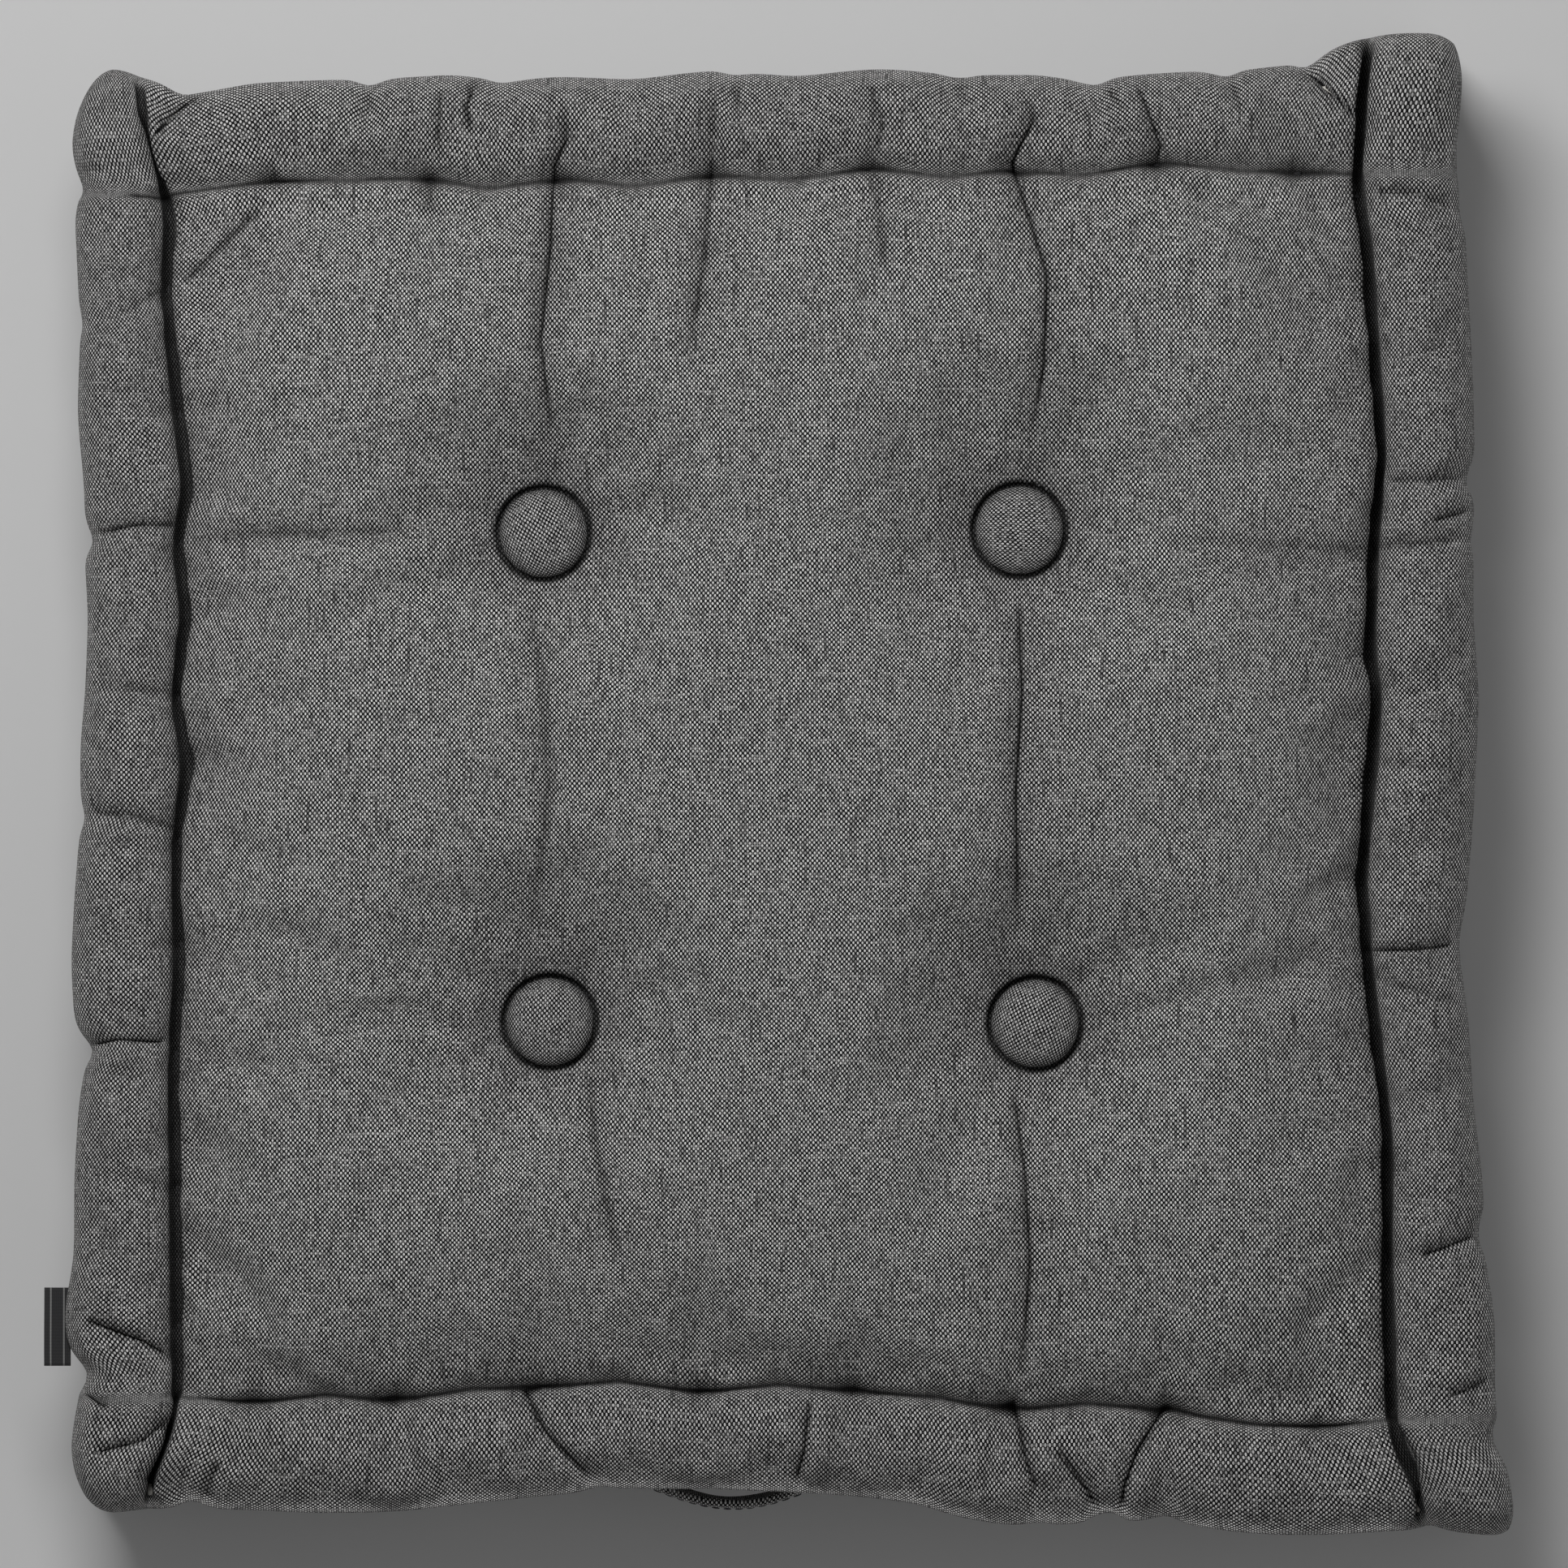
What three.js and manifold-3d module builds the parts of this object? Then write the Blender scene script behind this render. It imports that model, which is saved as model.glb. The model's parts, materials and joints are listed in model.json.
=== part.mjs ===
// A square floor cushion with hand-rolled edges: a woven cover of top panel, bottom panel and four boxing
// strips round a fibre filling, tufted through with four pairs of covered buttons, with a carry strap on the
// front and a folded label in the left seam. Millimetres, +Z up, +Y to the back, the origin on the floor under
// the middle of the cushion.
import * as THREE from "three";
import { mergeVertices } from "three/addons/utils/BufferGeometryUtils.js";
import Module from "manifold-3d";

const wasm = await Module();
wasm.setup();

// ---- driving dimensions ----

const WIDTH = 450; // side to side across the rolls, along X
const DEPTH = 450; // front to back across the rolls, along Y
const HEIGHT = 100; // floor to the crown of the top panel

const CLOTH = 1.2; // canvas with its turned seam allowance
const GAP = 0.35; // between pieces that touch

const ROLL_RADIUS = 15.5; // the rolls along the top and bottom edges
const ROLL_DROP = 8; // crest of the top roll below the crown
const GROOVE_WIDTH = 3; // floor of the sewn groove inside each roll
const GROOVE_ABOVE_SEAM = 3.5; // floor of the top groove above the seam round the top
const BOTTOM_GROOVE_DEPTH = 5;
const SIDE_RECESS = 9; // how far the boxing lies behind the rolls
const CROWN_INSET = 105; // the panels are level further in than this

const CORNER_RADIUS = 26;
const EAR = 8; // how far the corners stand out past the sides
const FLARE_LENGTH = 10; // the side starts to flare this far before its corner curve

const TUFT_PITCH_X = 153;
const TUFT_PITCH_Y = 157;
const TOP_DIMPLE = { depth: 20, radius: 58 };
const BOTTOM_DIMPLE = { depth: 12, radius: 42 };
const TUFT_HOLE_RADIUS = 4.8; // clears the button's wire eye all round as the tuft turns

const BUTTON_RADIUS = 14.2;
const BUTTON_DOME = 6; // dome above the rim
const BUTTON_CLOTH = 0.6;
const BUTTON_SHELL = 0.6;
const BUTTON_TUCK = 1; // cloth turned under the rim
const BUTTON_SIDES = 12;
const BACK_PLATE_RADIUS = 9.2;
const EYE_RADIUS = 3.2;
const EYE_WIRE_RADIUS = 0.7;
const TWINE_RADIUS = 0.8;
const KNOT_RADIUS = 1.5;
const EDGE_TWINE_RADIUS = 0.5;

const STRAP_WIDTH = 25;
const STRAP_THICKNESS = 3;
const STRAP_BOW = 12; // how far the middle of the strap stands off its sewn ends
const STRAP_SPAN = 100; // between the sewn ends
const STRAP_TAB = 25; // length of each sewn end
const GRIP_LENGTH = 56; // the free middle of the strap, which swings
const HANDLE_X = -14;
const STITCH_MARGIN = 3; // from the edge of the tab
const STITCH_WIDTH = 0.9;
const STITCH_HEIGHT = 0.5;

const LABEL_LENGTH = 25;
const LABEL_REACH = 8.5;
const LABEL_TAPE = 0.4;
const LABEL_Y = -172;
const LABEL_STAND_OFF = 0.75; // lets the label fold up and down against the roll

// ---- derived places ----

const ROLL_TOP_Z = HEIGHT - ROLL_DROP - ROLL_RADIUS; // centre of the top roll, and its seam
const ROLL_BOTTOM_Z = ROLL_RADIUS; // centre of the bottom roll, and its seam
const TOP_GROOVE_Z = ROLL_TOP_Z + GROOVE_ABOVE_SEAM;
const GROOVE_INSET = 2 * ROLL_RADIUS + GROOVE_WIDTH / 2; // middle of the groove
const WAIST_Z = (ROLL_TOP_Z + ROLL_BOTTOM_Z) / 2; // middle of the boxing
const HALF_SIDE = Math.min(WIDTH, DEPTH) / 2;
const TOP_SEAT_Z = HEIGHT - TOP_DIMPLE.depth;
const BOTTOM_SEAT_Z = BOTTOM_DIMPLE.depth;
const SEAT_RADIUS = BUTTON_RADIUS + 1;
const BUTTON_LIFT = BUTTON_TUCK + GAP; // rim of a button above its seat

// The tufts are set by hand, so each lies a little off the grid.
const TUFTS = [
  { name: "back_left", x: -TUFT_PITCH_X / 2 + 2, y: TUFT_PITCH_Y / 2 + 3 },
  { name: "back_right", x: TUFT_PITCH_X / 2 + 1, y: TUFT_PITCH_Y / 2 + 4 },
  { name: "front_left", x: -TUFT_PITCH_X / 2 + 4, y: -TUFT_PITCH_Y / 2 + 4 },
  { name: "front_right", x: TUFT_PITCH_X / 2 + 6, y: -TUFT_PITCH_Y / 2 + 3.5 },
];

// ---- materials ----

const cloth = (color) => new THREE.MeshStandardMaterial({ color, roughness: 0.92, metalness: 0 });
const CANVAS = cloth(0x6c6c6c);
const FIBRE = cloth(0xd8d5cc);
const THREAD = cloth(0x3c3c3e);
const TWINE = cloth(0x8f8c86);
const LABEL_CLOTH = cloth(0x141416);
const STEEL = new THREE.MeshStandardMaterial({ color: 0xa9abae, roughness: 0.35, metalness: 1 });

// ---- solids ----

function toSolid(geometry) {
  const bare = geometry.index ? geometry.toNonIndexed() : geometry.clone();
  bare.deleteAttribute("normal");
  bare.deleteAttribute("uv");
  const merged = mergeVertices(bare, 1e-3);
  return new wasm.Manifold(
    new wasm.Mesh({
      numProp: 3,
      vertProperties: merged.attributes.position.array,
      triVerts: new Uint32Array(merged.index.array),
    }),
  );
}

function toGeometry(solid) {
  const mesh = solid.getMesh();
  const stride = mesh.numProp;
  const positions = new Float32Array(mesh.numVert * 3);
  for (let i = 0; i < mesh.numVert; i++) {
    positions.set(mesh.vertProperties.subarray(i * stride, i * stride + 3), i * 3);
  }
  const geometry = new THREE.BufferGeometry();
  geometry.setAttribute("position", new THREE.BufferAttribute(positions, 3));
  geometry.setIndex(new THREE.BufferAttribute(mesh.triVerts, 1));
  geometry.computeVertexNormals();
  return geometry;
}

function node(name, geometry, material) {
  const mesh = new THREE.Mesh(geometry, material);
  mesh.name = name;
  return mesh;
}

// A surface of revolution about +Z. The profile is [radius, z] pairs that run down the outside.
function turned(profile, segments) {
  const points = profile.map(([r, z]) => new THREE.Vector2(r, z)).reverse();
  return new THREE.LatheGeometry(points, segments).rotateX(Math.PI / 2);
}

function cylinderZ(radius, zLow, zHigh, segments) {
  const geometry = new THREE.CylinderGeometry(radius, radius, zHigh - zLow, segments);
  return geometry.rotateX(Math.PI / 2).translate(0, 0, (zLow + zHigh) / 2);
}

// ---- the cushion's outer form: a section carried round a square with standing corners ----

// The outline in plan, anticlockwise from the front right corner, with one point for each column of the form.
function planOutline() {
  const steps = 3;
  const outline = [];
  const signs = [
    [1, -1],
    [1, 1],
    [-1, 1],
    [-1, -1],
  ];
  signs.forEach(([sx, sy], corner) => {
    const cx = sx * (WIDTH / 2 - CORNER_RADIUS);
    const cy = sy * (DEPTH / 2 - CORNER_RADIUS);
    const arc = [];
    for (let i = 0; i <= steps; i++) {
      const angle = (corner - 1 + i / steps) * (Math.PI / 2);
      arc.push([
        cx + CORNER_RADIUS * Math.cos(angle) + sx * EAR,
        cy + CORNER_RADIUS * Math.sin(angle) + sy * EAR,
      ]);
    }
    const onSideX = [sx * (WIDTH / 2), cy - sy * FLARE_LENGTH];
    const onSideY = [cx - sx * FLARE_LENGTH, sy * (DEPTH / 2)];
    const startsOnX = sx * sy > 0;
    outline.push(startsOnX ? onSideX : onSideY, ...arc, startsOnX ? onSideY : onSideX);
  });
  return outline;
}

// Points of a roll: angle 0 is the outermost point, 90 the top of the roll, 180 its inner side.
function rollArc(centreZ, fromDegrees, toDegrees, steps) {
  const points = [];
  for (let i = 0; i <= steps; i++) {
    const angle = THREE.MathUtils.degToRad(fromDegrees + ((toDegrees - fromDegrees) * i) / steps);
    const inset = ROLL_RADIUS * (1 - Math.cos(angle));
    points.push([HALF_SIDE - inset, centreZ + ROLL_RADIUS * Math.sin(angle)]);
  }
  return points;
}

// The section in three runs of [radius, z]: over the top, down the side, and under the bottom.
function sectionRuns() {
  const at = (inset, z) => [HALF_SIDE - inset, z];
  const grooveOuter = GROOVE_INSET - GROOVE_WIDTH / 2;
  const grooveInner = GROOVE_INSET + GROOVE_WIDTH / 2;
  const top = [
    [0, HEIGHT],
    at(CROWN_INSET, HEIGHT),
    at(0.72 * CROWN_INSET, HEIGHT - 2.5),
    at(0.5 * CROWN_INSET, HEIGHT - 7),
    at(grooveInner + 5, HEIGHT - 14),
    at(grooveInner, TOP_GROOVE_Z),
    at(grooveOuter, TOP_GROOVE_Z),
    ...rollArc(ROLL_TOP_Z, 150, 0, 5),
  ];
  const side = [
    ...rollArc(ROLL_TOP_Z, 0, -60, 2),
    at(SIDE_RECESS, ROLL_TOP_Z - ROLL_RADIUS),
    at(SIDE_RECESS, ROLL_BOTTOM_Z + ROLL_RADIUS),
    ...rollArc(ROLL_BOTTOM_Z, 60, 0, 2),
  ];
  const bottom = [
    ...rollArc(ROLL_BOTTOM_Z, 0, -150, 5),
    at(grooveOuter, BOTTOM_GROOVE_DEPTH),
    at(grooveInner, BOTTOM_GROOVE_DEPTH),
    at(grooveInner + 7, 1),
    at(grooveInner + 17, 0),
    [0, 0],
  ];
  return { top, side, bottom };
}

// The same run moved into the cushion by a distance, square to the cloth.
function inward(run, distance) {
  return run.map(([r, z], i) => {
    const [r0, z0] = run[Math.max(i - 1, 0)];
    const [r1, z1] = run[Math.min(i + 1, run.length - 1)];
    const length = Math.hypot(r1 - r0, z1 - z0);
    const moved = r + ((z1 - z0) / length) * distance;
    return [r === 0 ? 0 : moved, z - ((r1 - r0) / length) * distance];
  });
}

// Carries a closed profile round the plan outline: the lathe gives the grid, and each column goes to its place.
function carriedRound(profile) {
  const outline = planOutline();
  const points = profile.map(([r, z]) => new THREE.Vector2(r, z)).reverse();
  const geometry = new THREE.LatheGeometry(points, outline.length);
  const position = geometry.attributes.position;
  for (let i = 0; i < position.count; i++) {
    const [px, py] = outline[Math.floor(i / points.length) % outline.length];
    const { x: r, y: z } = points[i % points.length];
    const inset = Math.min(HALF_SIDE - r, CROWN_INSET);
    const share = r < HALF_SIDE - CROWN_INSET ? r / (HALF_SIDE - CROWN_INSET) : 1;
    position.setXYZ(
      i,
      px * (1 - inset / (WIDTH / 2)) * share,
      py * (1 - inset / (DEPTH / 2)) * share,
      z,
    );
  }
  return toSolid(geometry);
}

// ---- dimples and tuft holes ----

// The space above a dimple in the top panel, or below one in the bottom panel, lowered by the cloth over it.
function dimpleCutter(dimple, surfaceZ, facing, sunk) {
  const steps = 4;
  const profile = [];
  const seat = -dimple.depth - sunk * 1.2;
  const rim = 0.6 - sunk * 1.2;
  const beyond = 20;
  for (let i = steps; i >= 0; i--) {
    const share = i / steps;
    const radius = SEAT_RADIUS + (dimple.radius - SEAT_RADIUS) * share;
    profile.push([radius, seat + ((rim - seat) * (1 - Math.cos(Math.PI * share))) / 2]);
  }
  profile.unshift([0, beyond], [dimple.radius, beyond]);
  profile.push([0, seat]);
  const bowl = turned(profile, 14);
  if (facing < 0) bowl.rotateX(Math.PI);
  return bowl.translate(0, 0, surfaceZ);
}

function withoutDimples(solid, sunk) {
  let cut = solid;
  for (const { x, y } of TUFTS) {
    cut = cut.subtract(toSolid(dimpleCutter(TOP_DIMPLE, HEIGHT, 1, sunk).translate(x, y, 0)));
    cut = cut.subtract(toSolid(dimpleCutter(BOTTOM_DIMPLE, 0, -1, sunk).translate(x, y, 0)));
  }
  return cut;
}

function withTuftHoles(solid) {
  let cut = solid;
  for (const { x, y } of TUFTS) {
    const hole = cylinderZ(TUFT_HOLE_RADIUS, -1, HEIGHT + 1, 12).translate(x, y, 0);
    cut = cut.subtract(toSolid(hole));
  }
  return cut;
}

// ---- cover and filling ----

// Panels are cut from a thick shell of the whole form, so that the dimples keep their cloth.
function coverPanels() {
  const { top, side, bottom } = sectionRuns();
  const outer = [...top, ...side.slice(1), ...bottom.slice(1)];
  const whole = withoutDimples(carriedRound(outer), 0);
  const inner = withoutDimples(carriedRound(inward(outer, CLOTH)), CLOTH);
  const skin = withTuftHoles(whole.subtract(inner));
  const block = (width, depth, zLow, zHigh) => {
    const box = new THREE.BoxGeometry(width, depth, zHigh - zLow);
    return toSolid(box.translate(0, 0, (zLow + zHigh) / 2));
  };
  const slab = (zLow, zHigh) => block(3 * WIDTH, 3 * DEPTH, zLow, zHigh);
  // Inside the rolls there are only panels, however deep their dimples go.
  const insideRolls = (zLow, zHigh) =>
    block(WIDTH - 4 * ROLL_RADIUS, DEPTH - 4 * ROLL_RADIUS, zLow, zHigh);
  const overTop = slab(ROLL_TOP_Z + GAP / 2, 2 * HEIGHT).add(insideRolls(WAIST_Z, 2 * HEIGHT));
  const underBottom = slab(-HEIGHT, ROLL_BOTTOM_Z - GAP / 2).add(insideRolls(-HEIGHT, WAIST_Z));
  const between = slab(ROLL_BOTTOM_Z + GAP / 2, ROLL_TOP_Z - GAP / 2);
  return {
    top: skin.intersect(overTop),
    bottom: skin.intersect(underBottom),
    boxing: skin.intersect(between).subtract(insideRolls(-HEIGHT, 2 * HEIGHT)),
  };
}

// One side's share of the boxing, between two mitres through the corners.
function boxingSide(boxing, direction) {
  const alongX = direction === "front" || direction === "back";
  const sign = direction === "back" || direction === "right" ? 1 : -1;
  const reach = 2;
  const clear = GAP; // keeps the mitre's two faces apart
  const wedge = new THREE.Shape();
  if (alongX) {
    wedge.moveTo(0, sign * clear);
    wedge.lineTo(sign * -reach * WIDTH, sign * (clear + reach * DEPTH));
    wedge.lineTo(sign * reach * WIDTH, sign * (clear + reach * DEPTH));
  } else {
    wedge.moveTo(sign * clear, 0);
    wedge.lineTo(sign * (clear + reach * WIDTH), sign * reach * DEPTH);
    wedge.lineTo(sign * (clear + reach * WIDTH), sign * -reach * DEPTH);
  }
  const prism = new THREE.ExtrudeGeometry(wedge, { depth: HEIGHT, bevelEnabled: false });
  return toGeometry(boxing.intersect(toSolid(prism)));
}

function fibreFilling() {
  const { top, side, bottom } = sectionRuns();
  const outer = [...top, ...side.slice(1), ...bottom.slice(1)];
  const inset = CLOTH + GAP;
  return toGeometry(withTuftHoles(withoutDimples(carriedRound(inward(outer, inset)), inset)));
}

// ---- covered buttons ----

// The button's outer profile, shrunk by a distance all over; the rim is at z 0.
function domeProfile(shrink) {
  const radius = BUTTON_RADIUS - shrink;
  const height = BUTTON_DOME - shrink;
  return [0, 35, 62, 84].map((degrees) => {
    const angle = THREE.MathUtils.degToRad(degrees);
    return [radius * Math.sin(angle), height * Math.cos(angle)];
  });
}

function buttonCover() {
  const outside = domeProfile(0);
  const inside = domeProfile(BUTTON_CLOTH);
  const tuckRadius = BACK_PLATE_RADIUS + GAP;
  return turned(
    [
      ...outside,
      [BUTTON_RADIUS - 1, -BUTTON_TUCK],
      [tuckRadius, -BUTTON_TUCK],
      [tuckRadius, -BUTTON_TUCK + BUTTON_CLOTH],
      [BUTTON_RADIUS - 1.2, -BUTTON_TUCK + BUTTON_CLOTH],
      ...inside.reverse(),
    ],
    BUTTON_SIDES,
  );
}

function buttonShell() {
  const outside = domeProfile(BUTTON_CLOTH + GAP);
  const inside = domeProfile(BUTTON_CLOTH + GAP + BUTTON_SHELL);
  const rim = BUTTON_RADIUS - BUTTON_CLOTH - GAP;
  return turned([...outside, [rim - 0.5, 0.1], ...inside.reverse()], BUTTON_SIDES);
}

function buttonBack() {
  const plate = toSolid(
    turned(
      [
        [0, 0.6],
        [BACK_PLATE_RADIUS, 0.1],
        [BACK_PLATE_RADIUS, -BUTTON_TUCK + 0.1],
        [0, -BUTTON_TUCK + 0.1],
      ],
      BUTTON_SIDES,
    ),
  );
  const eye = new THREE.TorusGeometry(EYE_RADIUS, EYE_WIRE_RADIUS, 5, 10);
  eye.rotateX(Math.PI / 2).translate(0, 0, -BUTTON_TUCK - EYE_RADIUS + EYE_WIRE_RADIUS / 2);
  return toGeometry(plate.add(toSolid(eye)));
}

function button(name) {
  const group = new THREE.Group();
  group.add(node(`${name}_cover`, buttonCover(), CANVAS));
  group.add(node(`${name}_shell`, buttonShell(), STEEL));
  group.add(node(`${name}_back`, buttonBack(), STEEL));
  return group;
}

// A loop of twine through both wire eyes: two straight strands joined by a half turn round each eye.
class TwineLoop extends THREE.Curve {
  constructor(zLow, zHigh, radius) {
    super();
    const turn = 5;
    this.stops = [];
    const middle = (zLow + zHigh) / 2;
    this.stops.push(new THREE.Vector3(0, radius, middle + KNOT_RADIUS / 2));
    for (let i = 0; i <= turn; i++) {
      const angle = (i / turn) * Math.PI;
      this.stops.push(
        new THREE.Vector3(0, radius * Math.cos(angle), zHigh + radius * Math.sin(angle)),
      );
    }
    for (let i = 0; i <= turn; i++) {
      const angle = Math.PI + (i / turn) * Math.PI;
      this.stops.push(
        new THREE.Vector3(0, radius * Math.cos(angle), zLow + radius * Math.sin(angle)),
      );
    }
    this.stops.push(new THREE.Vector3(0, radius, middle - KNOT_RADIUS / 2));
  }
  getPoint(t, target = new THREE.Vector3()) {
    const place = t * (this.stops.length - 1);
    const i = Math.min(Math.floor(place), this.stops.length - 2);
    return target.copy(this.stops[i]).lerp(this.stops[i + 1], place - i);
  }
  // One ring of the tube at each stop, whatever the distance between them.
  getUtoTmapping(u) {
    return u;
  }
}

function tuftTwine(zLowEye, zHighEye) {
  const loopRadius = TWINE_RADIUS + EYE_WIRE_RADIUS + GAP;
  const wireLow = zLowEye + EYE_RADIUS; // the eye's wire that the loop goes round
  const wireHigh = zHighEye - EYE_RADIUS;
  const path = new TwineLoop(wireLow, wireHigh, loopRadius);
  const section = new THREE.Shape();
  section.absarc(0, 0, TWINE_RADIUS, 0, 2 * Math.PI);
  const tube = new THREE.ExtrudeGeometry(section, {
    steps: path.stops.length - 1,
    curveSegments: 3,
    extrudePath: path,
  });
  const knot = new THREE.SphereGeometry(KNOT_RADIUS, 7, 5);
  knot.translate(0, loopRadius, (wireLow + wireHigh) / 2);
  return toGeometry(toSolid(tube).add(toSolid(knot)));
}

function tuft({ name, x, y }) {
  const group = new THREE.Group();
  group.position.set(x, y, 0);
  const topRim = TOP_SEAT_Z + BUTTON_LIFT;
  const bottomRim = BOTTOM_SEAT_Z - BUTTON_LIFT;
  const eyeDrop = BUTTON_TUCK + EYE_RADIUS - EYE_WIRE_RADIUS / 2;
  const topButton = button(`top_button_${name}`);
  topButton.position.z = topRim;
  const bottomButton = button(`bottom_button_${name}`);
  bottomButton.position.z = bottomRim;
  bottomButton.rotation.x = Math.PI;
  const twine = tuftTwine(bottomRim + eyeDrop, topRim - eyeDrop);
  group.add(topButton, bottomButton, node(`tuft_twine_${name}`, twine, TWINE));
  return group;
}

// ---- twine that ties the rolled edges ----

function edgeTwine(name, side, z) {
  const alongX = side === "front" || side === "back";
  const sign = side === "back" || side === "right" ? 1 : -1;
  const half = (alongX ? WIDTH : DEPTH) / 2;
  const across = (alongX ? DEPTH : WIDTH) / 2;
  const straight = half - CORNER_RADIUS - FLARE_LENGTH;
  const length = 2 * straight * (1 - GROOVE_INSET / half) - 2 * GAP;
  const place = sign * (across - GROOVE_INSET);
  const geometry = new THREE.CylinderGeometry(EDGE_TWINE_RADIUS, EDGE_TWINE_RADIUS, length, 8);
  if (alongX) geometry.rotateZ(Math.PI / 2).translate(0, place, z);
  else geometry.translate(place, 0, z);
  return node(`edge_twine_${name}_${side}`, geometry, THREAD);
}

// ---- carry strap ----

// The strap lies against whatever stands furthest out across its width: the boxing, or the rolls' flanks.
function strapSeatY() {
  const reach = STRAP_WIDTH / 2 + GAP;
  const { side } = sectionRuns();
  let inset = SIDE_RECESS;
  for (let i = 1; i < side.length; i++) {
    const [r0, z0] = side[i - 1];
    const [r1, z1] = side[i];
    for (const edge of [WAIST_Z - reach, WAIST_Z + reach]) {
      if (edge > z0 || edge < z1) continue;
      const share = (z0 - edge) / (z0 - z1);
      inset = Math.min(inset, HALF_SIDE - (r0 + (r1 - r0) * share));
    }
  }
  return -(DEPTH / 2 - inset);
}

const STRAP_SEAT_Y = strapSeatY();

// How far the middle of the strap's thickness stands off the boxing, at a distance from the strap's middle.
function strapStandOff(along) {
  const seated = GAP + STRAP_THICKNESS / 2;
  const share = Math.min(Math.abs(along) / (STRAP_SPAN / 2), 1);
  return seated + (STRAP_BOW * (1 + Math.cos(Math.PI * share))) / 2;
}

// A length of the strap. Its ends are square to X, so that the swinging grip turns past the fixed ends.
function strapPiece(from, to, steps) {
  const edge = (side) => {
    const points = [];
    for (let i = 0; i <= steps; i++) {
      const x = from + ((to - from) * i) / steps;
      const slope = (strapStandOff(x + 0.01) - strapStandOff(x - 0.01)) / 0.02;
      const half = (STRAP_THICKNESS / 2) * Math.hypot(1, slope);
      points.push(new THREE.Vector2(x, -strapStandOff(x) + side * half));
    }
    return points;
  };
  const outline = new THREE.Shape([...edge(-1), ...edge(1).reverse()]);
  const strap = new THREE.ExtrudeGeometry(outline, { depth: STRAP_WIDTH, bevelEnabled: false });
  return strap.translate(HANDLE_X, STRAP_SEAT_Y, WAIST_Z - STRAP_WIDTH / 2);
}

// A box stitch: a sewn square with its two diagonals.
function boxStitch(centreX) {
  const width = STRAP_TAB - 2 * STITCH_MARGIN;
  const height = STRAP_WIDTH - 2 * STITCH_MARGIN;
  const w = width / 2;
  const h = height / 2;
  const square = new THREE.Shape([
    new THREE.Vector2(-w, -h),
    new THREE.Vector2(w, -h),
    new THREE.Vector2(w, h),
    new THREE.Vector2(-w, h),
  ]);
  const near = STITCH_WIDTH * 0.75;
  const far = STITCH_WIDTH;
  const wide = [
    new THREE.Vector2(-w + far + near, -h + far),
    new THREE.Vector2(w - far - near, -h + far),
    new THREE.Vector2(0, -near),
  ];
  const tall = [
    new THREE.Vector2(-w + far, -h + far + near),
    new THREE.Vector2(-near, 0),
    new THREE.Vector2(-w + far, h - far - near),
  ];
  const turnedRound = (points) => points.map((p) => new THREE.Vector2(-p.x, -p.y));
  for (const hole of [wide, turnedRound(wide), tall, turnedRound(tall)]) {
    square.holes.push(new THREE.Path(hole));
  }
  const stitch = new THREE.ExtrudeGeometry(square, { depth: STITCH_HEIGHT, bevelEnabled: false });
  const face = STRAP_SEAT_Y - GAP - STRAP_THICKNESS - GAP;
  return stitch.rotateX(Math.PI / 2).translate(centreX, face, WAIST_Z);
}

function handle() {
  const group = new THREE.Group();
  const half = STRAP_SPAN / 2;
  const grip = GRIP_LENGTH / 2;
  const tabMiddle = half + STRAP_TAB / 2;
  group.add(node("handle_grip", strapPiece(-grip + GAP / 2, grip - GAP / 2, 16), CANVAS));
  group.add(node("handle_end_left", strapPiece(-half - STRAP_TAB, -grip - GAP / 2, 14), CANVAS));
  group.add(node("handle_end_right", strapPiece(grip + GAP / 2, half + STRAP_TAB, 14), CANVAS));
  group.add(node("handle_stitch_left", boxStitch(HANDLE_X - tabMiddle), THREAD));
  group.add(node("handle_stitch_right", boxStitch(HANDLE_X + tabMiddle), THREAD));
  return group;
}

// ---- folded label in the left seam ----

function sideLabel() {
  const half = LABEL_TAPE + GAP / 2; // half the folded thickness
  const slit = GAP / 2;
  const tip = LABEL_REACH - half;
  const fold = new THREE.Shape();
  fold.moveTo(0, -half);
  fold.lineTo(tip, -half);
  fold.absarc(tip, 0, half, -Math.PI / 2, Math.PI / 2);
  fold.lineTo(0, half);
  fold.lineTo(0, slit);
  fold.lineTo(tip, slit);
  fold.absarc(tip, 0, slit, Math.PI / 2, -Math.PI / 2, true);
  fold.lineTo(0, -slit);
  const tape = new THREE.ExtrudeGeometry(fold, {
    depth: LABEL_LENGTH,
    bevelEnabled: false,
    curveSegments: 4,
  });
  tape.rotateX(Math.PI / 2).rotateZ(Math.PI);
  return tape.translate(-WIDTH / 2 - LABEL_STAND_OFF, LABEL_Y - LABEL_LENGTH / 2, ROLL_TOP_Z);
}

// ---- the cushion ----

const cushion = new THREE.Group();
const cover = coverPanels();
cushion.add(node("top_panel", toGeometry(cover.top), CANVAS));
cushion.add(node("bottom_panel", toGeometry(cover.bottom), CANVAS));
cushion.add(node("fibre_filling", fibreFilling(), FIBRE));
for (const side of ["front", "back", "left", "right"]) {
  cushion.add(node(`boxing_${side}`, boxingSide(cover.boxing, side), CANVAS));
  cushion.add(edgeTwine("top", side, TOP_GROOVE_Z + GAP + EDGE_TWINE_RADIUS));
  cushion.add(edgeTwine("bottom", side, BOTTOM_GROOVE_DEPTH - GAP - EDGE_TWINE_RADIUS));
}
TUFTS.forEach((place) => cushion.add(tuft(place)));
cushion.add(handle());
cushion.add(node("side_label", sideLabel(), LABEL_CLOTH));

export default cushion;
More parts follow.
